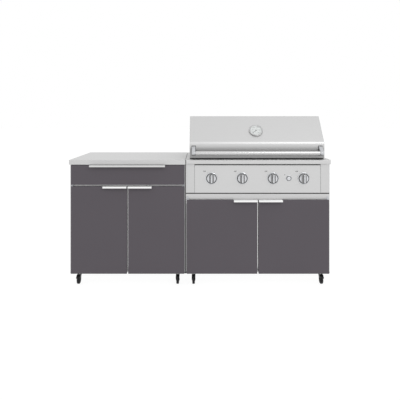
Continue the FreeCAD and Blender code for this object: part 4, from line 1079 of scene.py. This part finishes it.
def thermometer_size(place):
    """The outer radius and the height of the case's solid, in millimetres."""
    case = frame["nodes"]["thermometer_case"].data
    points = [place.inverted() @ vert.co / MM for vert in case.vertices]
    return max(math.hypot(point.x, point.y) for point in points), max(point.z for point in points)


def make_case(place, outer, rim, inner, floor):
    """The thermometer's case: a rounded ring round a recess with the needle's pin in it."""
    corner, pin_top = 3.0, floor + 2.2
    case = Shape()
    case.turned(in_mm([
        (0.0, 0.0), (outer, 0.0), (outer, rim - corner),
        *arc((outer - corner, rim - corner), corner, 0, 90),
        (inner + 1.6, rim), (inner + 0.4, rim - 0.8), (inner, rim - 1.4), (inner, floor),
        (DIAL_PIN, floor), (DIAL_PIN, pin_top), (0.0, pin_top),
    ]), place)
    metal = shared("case_steel", plated, bpy.context.scene.island_finishes.case, 0.3)
    piece = case.piece("turned_thermometer_case", [metal])
    hand_over(piece, "hood", ["thermometer_case"])


def make_dial(place, inner, floor):
    """The dial: a thin white plate in the recess, with a hole for the pin."""
    clear, thick = 0.2, 0.3
    near, far = DIAL_PIN + clear, inner - clear
    plate = [(near, floor), (far, floor), (far, floor + thick), (near, floor + thick)]
    face = Shape()
    face.turned(in_mm(plate), place, closed=True)
    white = shared("dial_enamel", powder_coat, bpy.context.scene.island_finishes.dial_white, 0.4)
    hand_over(face.piece("thermometer_dial", [white]), "hood")


def make_dial_marks(place, inner, floor):
    """The dial's long and short ticks, and a number inside each long one."""
    wanted = bpy.context.scene.island_hardware
    numbers, small = wanted.dial_numbers, wanted.small_ticks
    ink = shared("dial_ink", moulded, (0.16, 0.16, 0.16), 0.5, grain=800.0, relief=0.01)
    start, sweep = math.radians(135), math.radians(-270)
    margin, inset, size = 1.6, 15.0, 7.0 * MM
    level = place @ Matrix.Translation((0, 0, (floor + 0.4) * MM))
    marks = []
    for count, width, length in ((numbers, 1.0, 6.0), ((numbers - 1) * small + 1, 0.5, 3.5)):
        marks.append(grow(
            "dial_ticks_" + str(count), spokes, ink, level, count=count, start=start,
            radius=(inner - margin - length / 2) * MM, sweep=sweep / (count - 1), width=width * MM,
            length=length * MM, height=0.2 * MM,
        ))
    for step in range(numbers):
        angle = start + sweep * step / (numbers - 1)
        spot = Vector((-math.sin(angle), math.cos(angle), 0)) * (inner - inset) * MM
        where = level @ Matrix.Translation(spot)
        text = str(100 + 100 * step)
        marks.append(lettering("dial_number_" + str(step), text, size, where, ink))
    hand_over(joined("thermometer_marks", marks), "hood")


def make_lens(place, inner, glass):
    """The thermometer's lens, which is a little crowned."""
    cover = Shape()
    cover.turned(in_mm([
        (0.0, glass - 0.3), (inner - 0.1, glass - 0.5), (inner - 0.1, glass),
        (inner * 0.7, glass + 0.5), (0.0, glass + 0.9),
    ]), place)
    hand_over(cover.piece("thermometer_lens", [shared("clear_lens", lens)]), "hood")


def make_thermometer():
    """The thermometer: its satin case, its white dial with ticks and numbers, and its lens."""
    place = thermometer_place()
    outer, rim = thermometer_size(place)
    inner, floor, glass = outer - DIAL_RING, rim / 2, rim - 1.6
    make_case(place, outer, rim, inner, floor)
    make_dial(place, inner, floor)
    make_dial_marks(place, inner, floor)
    make_lens(place, inner, glass)


def make_handle():
    """The hood's handle bar, a tube that is necked where it enters its brackets."""
    low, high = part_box("hood_handle_bar")
    radius = (high.z - low.z) / 2 / MM
    length = (high.x - low.x) / MM
    centre = (low + high) / 2
    place = Matrix.Translation((low.x, centre.y, centre.z)) @ Matrix.Rotation(math.radians(90), 4, "Y")
    neck, bore = radius - 2.0, radius - 3.0
    end = [(neck, 0.0), (neck, 4.0), (radius - 0.6, 4.6), (radius, 5.4)]
    other_end = [(wide, length - along) for wide, along in reversed(end)]
    shape = Shape()
    shape.turned(in_mm([*end, *other_end, (bore, length), (bore, 0.0)]), place, closed=True)
    metal = shared("handle_steel", plated, bpy.context.scene.island_finishes.handle, 0.26)
    piece = shape.piece("turned_handle_bar", [metal])
    hand_over(piece, "hood", ["hood_handle_bar"])


def make_grates():
    """The cooking grates: three frames of enamelled iron bars."""
    low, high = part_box("cooking_grates")
    size = high - low
    radius, gap, count, pitch = 4.4 * MM, 4.0 * MM, 3, 20.0 * MM
    width = (size.x - gap * (count - 1)) / count
    place = Matrix.Translation(((low.x + high.x) / 2, (low.y + high.y) / 2, low.z + radius))
    piece = grow(
        "iron_grates", rods, finish_of("grate_iron"), place,
        width=width - radius * 2, depth=size.y - radius * 2, bar_radius=radius, rod_pitch=pitch,
        rod_count=13, rib_count=2, copies=count, copy_pitch=width + gap,
    )
    hand_over(piece, body_of("cooking_grates"), ["cooking_grates"])


def make_warming_rack():
    """The warming rack: a wire frame on four legs."""
    low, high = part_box("warming_rack")
    size = high - low
    radius, leg, bevel = 2.5 * MM, 3.0 * MM, 0.6 * MM
    metal = finish_of("polished_steel")
    turned = Matrix.Rotation(math.radians(90), 4, "Z")
    place = Matrix.Translation(((low.x + high.x) / 2, (low.y + high.y) / 2, high.z - radius)) @ turned
    wires = grow(
        "rack_wires", rods, metal, place, width=size.y - radius * 2, depth=size.x - radius * 2,
        bar_radius=radius, rod_pitch=19.0 * MM, rod_count=4, rib_count=7, copies=1, copy_pitch=size.y,
    )
    tall = size.z - radius
    profile = [(0, 0), (leg - bevel, 0), (leg, bevel), (leg, tall), (0, tall)]
    legs = Shape()
    for x in (low.x + leg, high.x - leg):
        for y in (low.y + leg, high.y - leg):
            legs.turned(profile, Matrix.Translation((x, y, low.z)), steps=20)
    piece = joined("wire_warming_rack", [wires, legs.piece("rack_legs", [metal])])
    hand_over(piece, body_of("warming_rack"), ["warming_rack"])


def make_burner_ports():
    """Two rows of gas ports along each burner, which lie in line with the knobs."""
    wanted = bpy.context.scene.island_hardware
    low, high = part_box("burners")
    radius = (high.z - low.z) / 2
    front_end, rear_end = 40 * MM, 20 * MM
    # Black for the ports: painted shade of the holes.
    dark = shared("port_black", moulded, (0.01, 0.01, 0.01), 0.6, grain=600.0, relief=0.02)
    slope = math.radians(52)
    pieces = []
    for side in (-1, 1):
        points = []
        for knob in KNOBS:
            x = joint_place(knob + "_turn").x + math.sin(slope) * radius * side
            z = (low.z + high.z) / 2 + math.cos(slope) * radius
            for y in spread(low.y + front_end, high.y - rear_end, wanted.port_pitch):
                points.append((x, y, z))
        pieces.append(grow(
            "burner_ports_" + str(side + 1), ports, dark, points=points,
            radius=wanted.port_radius, height=0.3 * MM, facing=(0.0, slope * side, 0.0),
        ))
    hand_over(joined("burner_ports", pieces), body_of("burners"))


def worktop_seal():
    """The corners of three black blocks under the worktop, left of the drawer's pull, over it and right:
    painted shade of the gap above the drawer.
    """
    proud, clear = 1.5 * MM, 0.5 * MM
    top, drawer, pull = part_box("worktop"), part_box("drawer_front"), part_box("drawer_pull")
    left, right = pull[0].x - clear, pull[1].x + clear
    return [
        ((start, drawer[0].y + proud, low), (end, drawer[1].y, top[0].z))
        for start, end, low in (
            (drawer[0].x + proud, left, drawer[1].z + clear),
            (left, right, pull[1].z + clear),
            (right, drawer[1].x - proud, drawer[1].z + clear),
        )
    ]


def panel_seals():
    """The corners of strips round the control panel, over the band and between the two units, which are
    made black as painted shade in these joints.
    """
    deep, side, over, margin = 0.9 * MM, 1.2 * MM, 7.2 * MM, 2 * MM
    panel, units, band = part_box("control_panel"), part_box("cupboard_sides"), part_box("grill_face_frame")
    face, left, right, low, high = panel[0].y, panel[0].x, panel[1].x, panel[0].z, panel[1].z
    joint = (units[1].x + band[0].x) / 2
    return [
        ((start, face - deep, bottom), (end, face, top))
        for start, end, bottom, top in (
            (left + MM, right - MM, high - over, high),
            (left - side, left, low, high),
            (right, right + side, low, high),
            (band[0].x + margin, band[1].x - margin, low - 7.0 * MM, low - 0.5 * MM),
            (joint - 2.6 * MM, joint + 1.8 * MM, units[0].z - FLANGE_DROP, units[1].z - MM),
        )
    ]


def make_front_seals():
    """Black rubber strips in the joints, under the top, round the control panel and between the units:
    painted shade.
    """
    shape = Shape()
    for near, far in worktop_seal() + panel_seals():
        shape.block(near, far, radius=0.2 * MM)
    hand_over(shape.piece("front_shade_strips", [seal_rubber()]), "root")


def make_door_seals():
    """A black strip under each door: painted shadow along the door's lower edge."""
    inset, front, behind, drop = MM, 0.6 * MM, 2 * MM, 2.6 * MM
    for door in DOORS:
        low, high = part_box(door)
        strip = Shape()
        near = (low.x + inset, low.y + front, low.z - drop)
        strip.block(near, (high.x - inset, high.y - behind, low.z), radius=0.3 * MM)
        hand_over(strip.piece(door + "_seal", [seal_rubber()]), body_of(door))


def make_hood_seal():
    """A black strip under the hood's front edge: painted shade of the gap there."""
    inset, deep = 2 * MM, 7 * MM
    low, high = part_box("hood_skin")
    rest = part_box("grill_top_frame")[1].z
    strip = Shape()
    near = (low.x + inset, low.y + MM, rest + MM)
    strip.block(near, (high.x - inset, low.y + deep, low.z), radius=MM)
    hand_over(strip.piece("hood_seal", [seal_rubber()]), "hood")


def make_bracket_gaskets():
    """A thin black gasket between each handle bracket and the hood, drawn wider than the bracket so that
    its black rim is painted shade round the bracket.
    """
    proud, thick = 2.2 * MM, 1.6 * MM
    skin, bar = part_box("hood_skin")[0].y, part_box("hood_handle_bar")
    low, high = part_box("hood_handle_brackets")
    shape = Shape()
    for left, right in ((low.x, bar[0].x), (bar[1].x, high.x)):
        near = (left - proud, skin - thick, low.z - proud)
        shape.block(near, (right + proud, skin, high.z + proud), radius=0.4 * MM)
    hand_over(shape.piece("bracket_shade_gaskets", [seal_rubber()]), "hood")


def make_cover_strips():
    """Bright strips on the centre posts, seen through the gaps between the doors: a lighter, smoother steel
    than the posts' own, as painted light in the gaps.
    """
    half, thick, end = 9 * MM, 0.8 * MM, 34 * MM
    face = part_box("grill_face_frame")[0].y
    shape = Shape()
    for unit in ("cupboard", "grill"):
        left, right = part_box(unit + "_left_door"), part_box(unit + "_right_door")
        centre = (left[1].x + right[0].x) / 2
        low = (centre - half, face - thick, left[0].z + end)
        high = (centre + half, face, left[1].z - MM)
        shape.block(low, high, radius=0.3 * MM)
    # A lighter, smoother steel than the posts' own: painted light in the gaps.
    metal = shared("bright_strip", plated, (0.82, 0.82, 0.82), 0.12)
    hand_over(shape.piece("post_light_strips", [metal]), "root")


def make_flange_feet():
    """The feet of the cabinets' front flanges, which reach down past the doors' lower edges, in a dark
    steel that paints the shade of the channels between the doors.
    """
    sheet = 1.5 * MM
    # Painted shade: the feet get a dark steel so that they look as shaded as the flanges between the doors.
    metal = shared("foot_steel", brushed, (0.2, 0.2, 0.203), 0.5, "z")
    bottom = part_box("cupboard_sides")[0].z - FLANGE_DROP
    for unit, node in (("cupboard", "cupboard_sides"), ("grill", "grill_face_frame")):
        low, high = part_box(node)
        first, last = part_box(unit + "_left_door")[0].x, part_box(unit + "_right_door")[1].x
        shape = Shape()
        for left, right in ((low.x, first), (last, high.x)):
            shape.block((left, low.y, bottom), (right, low.y + sheet, low.z), radius=0.3 * MM)
        hand_over(shape.piece(unit + "_flange_feet", [metal]), "root")


def make_rivets():
    """The domed rivets along the backs and down the outer sides of both cabinets."""
    wanted = bpy.context.scene.island_hardware
    cupboard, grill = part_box("cupboard_sides"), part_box("grill_cabinet_sides")
    inset, back_end, side_end = 10 * MM, 15 * MM, 30 * MM
    backs, left, right = [], [], []
    for low, high in (cupboard, grill):
        for z in spread(low.z + back_end, high.z - back_end, wanted.rivet_pitch):
            backs += [(low.x + inset, high.y, z), (high.x - inset, high.y, z)]
    for (low, high), face, rows in ((cupboard, cupboard[0].x, left), (grill, grill[1].x, right)):
        for y in spread(low.y + side_end, high.y - side_end, wanted.rivet_pitch):
            rows.append((face, y, low.z + inset))
        for z in spread(low.z + wanted.rivet_pitch, high.z - side_end, wanted.rivet_pitch):
            rows.append((face, high.y - inset, z))
    quarter = math.radians(90)
    made = []
    for name, points, facing in (
        ("rivets_behind", backs, (-quarter, 0.0, 0.0)),
        ("rivets_left", left, (0.0, -quarter, 0.0)),
        ("rivets_right", right, (0.0, quarter, 0.0)),
    ):
        made.append(grow(
            name, rivets, finish_of("zinc_steel"), points=points,
            radius=wanted.rivet_radius, height=wanted.rivet_height, facing=facing,
        ))
    hand_over(joined("cabinet_rivets", made), "root")


def wheel_names():
    return sorted(node for node in frame["nodes"] if node.endswith("_wheel"))


def make_wheels():
    """The eight wheels: a rounded rubber tyre on a moulded wheel with ribs."""
    wanted = bpy.context.scene.island_hardware
    hub_color = (0.014, 0.014, 0.015)
    hub = shared("wheel_nylon", moulded, hub_color, 0.5, grain=400.0, relief=0.03, shine=0.25)
    for node in wheel_names():
        low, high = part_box(node)
        half = (high.x - low.x) / 2 / MM
        outer = (high.z - low.z) / 2 / MM
        place = Matrix.Translation((low + high) / 2) @ Matrix.Rotation(math.radians(90), 4, "Y")
        corner, rim, boss, bore, bevel = 5.0, outer - 10.0, 13.0, 4.05, 0.8
        web = half - 2.5
        wheel = Shape()
        tyre = [
            (rim, -half), *arc((outer - corner, corner - half), corner, -90, 0),
            *arc((outer - corner, half - corner), corner, 0, 90), (rim, half),
        ]
        wheel.turned(in_mm([*tyre, (rim, web), (rim, -web)]), place, closed=True)
        left = [(bore, -half), (boss - bevel, -half), (boss, bevel - half), (boss, -web), (rim, -web)]
        right = [(radius, -along) for radius, along in reversed(left)]
        wheel.turned(in_mm(left + right), place, closed=True, paint=1)
        turned = wheel.piece("tyre_" + node, [finish_of("wheel_rubber"), hub])
        ribs = grow(
            "ribs_" + node, spokes, hub, place, count=wanted.spokes, radius=(boss + rim) / 2 * MM,
            start=0.0, sweep=2 * math.pi / wanted.spokes, width=2.4 * MM,
            length=(rim - boss) * MM, height=(web + 1.4) * 2 * MM,
        )
        hand_over(joined("moulded_" + node, [turned, ribs]), body_of(node), [node])


def make_fork_hoods():
    """A black moulded hood over the top of each front wheel, clipped over its fork's legs."""
    half, wall, inner, outer, skirt, bevel = 12.9, 1.2, 32.6, 33.9, 20.0, 1.0
    section = (
        (-half, skirt), (-half, outer - bevel), (bevel - half, outer), (half - bevel, outer),
        (half, outer - bevel), (half, skirt), (half - wall, skirt), (half - wall, inner),
        (wall - half, inner), (wall - half, skirt),
    )
    start, end, steps = 26, 120, 18
    for node in wheel_names():
        if "_front_" not in node:
            continue
        fork = node.replace("front_wheel", "caster_fork")
        centre = middle(node)
        shape = Shape()
        rings = []
        for step in range(steps + 1):
            angle = math.radians(start + (end - start) * step / steps)
            spots = [(x, -radius * math.cos(angle), radius * math.sin(angle)) for x, radius in section]
            rings.append([shape.mesh.verts.new(centre + Vector(spot) * MM) for spot in spots])
        for low, high in zip(rings, rings[1:]):
            for index in range(len(section)):
                after = (index + 1) % len(section)
                shape.add_face((low[index], low[after], high[after], high[index]), 0)
        shape.add_face(rings[0], 0)
        shape.add_face(rings[-1], 0)
        piece = shape.piece(fork.replace("_fork", "_hood"), [finish_of("black_metal")])
        hand_over(piece, body_of(fork))


def make_caster_bolts():
    """Four bolts through each caster's plate."""
    wanted = bpy.context.scene.island_hardware
    thickness, reach = 3.0 * MM, 23.0 * MM
    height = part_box("front_caster_plates")[1].z - thickness
    points = []
    for node in wheel_names():
        spot = middle(node)
        if "_front_" in node:
            spot = joint_place(node.replace("front_wheel", "caster_swivel"))
        for x in (-reach, reach):
            for y in (-reach, reach):
                points.append((spot.x + x, spot.y + y, height))
    piece = grow(
        "caster_bolts", bolts, finish_of("black_metal"), points=points,
        radius=wanted.bolt_radius, height=wanted.bolt_height, facing=(math.pi, 0.0, 0.0),
    )
    hand_over(piece, "root")


def make_spark(place, ink):
    """A plain spark, as flat as the letters."""
    outline = [(1.5, 6), (-3.5, -0.8), (-0.4, -0.8), (-1.8, -6), (3.5, 1.2), (0.4, 1.2)]
    thick = 0.06
    mesh = bmesh.new()
    for lift in (0.0, thick):
        mesh.faces.new([mesh.verts.new((x * MM, y * MM, lift * MM)) for x, y in outline])
    mesh.faces.ensure_lookup_table()
    bmesh.ops.bridge_loops(mesh, edges=mesh.edges)
    bmesh.ops.recalc_face_normals(mesh, faces=mesh.faces)
    data = bpy.data.meshes.new("spark")
    mesh.to_mesh(data)
    mesh.free()
    data.materials.append(ink)
    data.transform(place)
    return new_piece("spark", data)


def make_printing():
    """The OFF mark beside each knob, and a spark by the igniter button."""
    ink_color = bpy.context.scene.island_finishes.print_ink
    ink = shared("panel_ink", moulded, ink_color, 0.6, grain=700.0, relief=0.01)
    size = bpy.context.scene.island_hardware.mark_height
    aside, left, above = 49 * MM, 28 * MM, 25 * MM
    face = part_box("control_panel")[0].y
    pieces = []
    for number, node in enumerate(KNOBS, 1):
        knob = joint_place(node + "_turn")
        place = facing_front(Vector((knob.x - aside, face, knob.z + aside)))
        pieces.append(lettering("mark_" + str(number), "OFF", size, place, ink, bold=0.35 * MM))
    button = middle("igniter_button")
    place = facing_front(Vector((button.x - left, face, button.z + above)))
    pieces.append(make_spark(place, ink))
    hand_over(joined("panel_marks", pieces), body_of("control_panel"))


def empty_tree(holder):
    """The node tree of a material or a world, with its nodes taken out."""
    holder.use_nodes = True
    holder.node_tree.nodes.clear()
    return Tree(holder.node_tree)


def seen_rays(tree):
    """1 for what the camera sees, straight, mirrored or through glass, and 0 for other light."""
    path = tree.tree.nodes.new("ShaderNodeLightPath")
    seen = Signal(tree, path.outputs["Is Camera Ray"])
    for other in ("Is Glossy Ray", "Is Transmission Ray"):
        seen = seen.larger(Signal(tree, path.outputs[other]))
    return seen


def make_floor(wanted):
    """A plain white floor that keeps the island's shadow and sends a part of its white back."""
    bounced, spare = 0.55, 0.05
    half, shade = wanted.floor_size / 2, wanted.floor_shade
    mesh = bpy.data.meshes.new("floor")
    corners = [(-half, -half, 0), (half, -half, 0), (half, half, 0), (-half, half, 0)]
    mesh.from_pydata(corners, [], [(0, 1, 2, 3)])
    floor = new_piece("floor", mesh)
    material = bpy.data.materials.new("studio_floor")
    tree = empty_tree(material)
    lit = tree.add("ShaderNodeBsdfDiffuse", None, {"Color": (shade, shade, shade, 1)})
    strength = seen_rays(tree) * (1 - shade + spare - bounced) + bounced
    glow = tree.add("ShaderNodeEmission", None, {"Strength": strength})
    both = tree.add("ShaderNodeAddShader", None, {0: lit, 1: glow})
    tree.add("ShaderNodeOutputMaterial", None, {"Surface": both})
    mesh.materials.append(material)


def make_world(wanted):
    """White all round, a little weaker where it lights a dull surface."""
    world = bpy.data.worlds.new("studio")
    bpy.context.scene.world = world
    tree = empty_tree(world)
    level = seen_rays(tree) * (1 - wanted.soft_level) + wanted.soft_level
    sky = tree.add("ShaderNodeBackground", None, {"Color": (1, 1, 1, 1), "Strength": level})
    tree.add("ShaderNodeOutputWorld", None, {"Surface": sky})


def make_key_light(wanted):
    """A large soft light above, in front and to the right."""
    lamp = bpy.data.lights.new("key", "AREA")
    lamp.shape = "RECTANGLE"
    lamp.size = wanted.key_width
    lamp.size_y = wanted.key_height
    lamp.energy = wanted.key_power
    key = bpy.data.objects.new("key", lamp)
    bpy.context.scene.collection.objects.link(key)
    key.location = wanted.key_place
    key.rotation_euler = (Vector(wanted.key_aim) - key.location).to_track_quat("-Z", "Y").to_euler()


def make_camera(wanted):
    """A level camera that looks straight at the fronts."""
    camera = bpy.data.cameras.new("camera")
    camera.lens = wanted.camera_lens
    camera.sensor_width = 36.0
    camera.shift_y = wanted.camera_shift
    viewer = bpy.data.objects.new("camera", camera)
    bpy.context.scene.collection.objects.link(viewer)
    viewer.location = (0.0, -wanted.camera_distance, wanted.camera_height)
    viewer.rotation_euler = (math.radians(90), 0.0, 0.0)
    bpy.context.scene.camera = viewer


class ISLAND_OT_finish_nodes(bpy.types.Operator):
    """Give every solid of the frame the finish of its slot"""

    bl_idname = "island.finish_nodes"
    bl_label = "Finish the solids"

    def execute(self, context):
        finish_nodes()
        return {"FINISHED"}


class ISLAND_OT_panels(bpy.types.Operator):
    """Soften the edges of the worktop, the panels and the cabinets"""

    bl_idname = "island.panels"
    bl_label = "Panels and cabinets"

    def execute(self, context):
        for node in GROUPS["panels"]:
            soften(node)
        return {"FINISHED"}


class ISLAND_OT_fronts(bpy.types.Operator):
    """Soften the edges of the doors, the drawer and their pulls"""

    bl_idname = "island.fronts"
    bl_label = "Doors and drawer"

    def execute(self, context):
        for node in GROUPS["fronts"]:
            soften(node)
        return {"FINISHED"}


class ISLAND_OT_hood(bpy.types.Operator):
    """Soften the hood's edges and make its handle bar"""

    bl_idname = "island.hood"
    bl_label = "Hood and handle"

    def execute(self, context):
        for node in GROUPS["hood"]:
            soften(node)
        make_handle()
        return {"FINISHED"}


class ISLAND_OT_thermometer(bpy.types.Operator):
    """Make the thermometer's case, dial, marks and lens"""

    bl_idname = "island.thermometer"
    bl_label = "Thermometer"

    def execute(self, context):
        make_thermometer()
        return {"FINISHED"}


class ISLAND_OT_controls(bpy.types.Operator):
    """Make the knobs, their bezels, the igniter button and the printed marks"""

    bl_idname = "island.controls"
    bl_label = "Knobs and marks"

    def execute(self, context):
        make_knobs()
        make_bezels()
        make_button()
        make_printing()
        return {"FINISHED"}


class ISLAND_OT_grates(bpy.types.Operator):
    """Make the cooking grates, the warming rack and the burners' ports"""

    bl_idname = "island.grates"
    bl_label = "Grates and burners"

    def execute(self, context):
        make_grates()
        make_warming_rack()
        make_burner_ports()
        return {"FINISHED"}


class ISLAND_OT_seals(bpy.types.Operator):
    """Make the black strips and gaskets of painted shade in the joints, the bright strips of painted light
    behind the doors' gaps, and the flanges' feet in a steel of painted shade
    """

    bl_idname = "island.seals"
    bl_label = "Shade and light strips"

    def execute(self, context):
        make_front_seals()
        make_door_seals()
        make_hood_seal()
        make_bracket_gaskets()
        make_cover_strips()
        make_flange_feet()
        return {"FINISHED"}


class ISLAND_OT_rivets(bpy.types.Operator):
    """Set the rivets in the cabinets' backs and sides"""

    bl_idname = "island.rivets"
    bl_label = "Rivets"

    def execute(self, context):
        make_rivets()
        return {"FINISHED"}


class ISLAND_OT_casters(bpy.types.Operator):
    """Make the casters' forks, plates, wheels and bolts"""

    bl_idname = "island.casters"
    bl_label = "Casters"

    def execute(self, context):
        for node in GROUPS["casters"]:
            soften(node)
        make_wheels()
        make_fork_hoods()
        make_caster_bolts()
        return {"FINISHED"}


class ISLAND_OT_stage(bpy.types.Operator):
    """Set up the floor, the light and the camera"""

    bl_idname = "island.stage"
    bl_label = "Stage"

    def execute(self, context):
        wanted = context.scene.island_studio
        make_floor(wanted)
        make_world(wanted)
        make_key_light(wanted)
        make_camera(wanted)
        context.scene.view_settings.view_transform = "Standard"
        return {"FINISHED"}


STEPS = (
    ISLAND_OT_finish_nodes,
    ISLAND_OT_panels,
    ISLAND_OT_fronts,
    ISLAND_OT_hood,
    ISLAND_OT_thermometer,
    ISLAND_OT_controls,
    ISLAND_OT_grates,
    ISLAND_OT_seals,
    ISLAND_OT_rivets,
    ISLAND_OT_casters,
    ISLAND_OT_stage,
)


class ISLAND_PT_panel(bpy.types.Panel):
    """The island's pieces and settings"""

    bl_idname = "ISLAND_PT_panel"
    bl_label = "Kitchen Island"
    bl_space_type = "VIEW_3D"
    bl_region_type = "UI"
    bl_category = "Kitchen Island"

    def draw(self, context):
        for step in STEPS:
            self.layout.operator(step.bl_idname)
        scene = context.scene
        for group in (scene.island_finishes, scene.island_hardware, scene.island_studio):
            box = self.layout.box()
            for name in group.__annotations__:
                box.prop(group, name)


CLASSES = (IslandFinishes, IslandHardware, IslandStudio, *STEPS, ISLAND_PT_panel)


def register():
    for item in CLASSES:
        bpy.utils.register_class(item)
    bpy.types.Scene.island_finishes = PointerProperty(type=IslandFinishes)
    bpy.types.Scene.island_hardware = PointerProperty(type=IslandHardware)
    bpy.types.Scene.island_studio = PointerProperty(type=IslandStudio)


def unregister():
    del bpy.types.Scene.island_finishes
    del bpy.types.Scene.island_hardware
    del bpy.types.Scene.island_studio
    for item in reversed(CLASSES):
        bpy.utils.unregister_class(item)


def main():
    register()
    for step in STEPS:
        family, name = step.bl_idname.split(".")
        getattr(getattr(bpy.ops, family), name)()


if __name__ == "__main__":
    main()
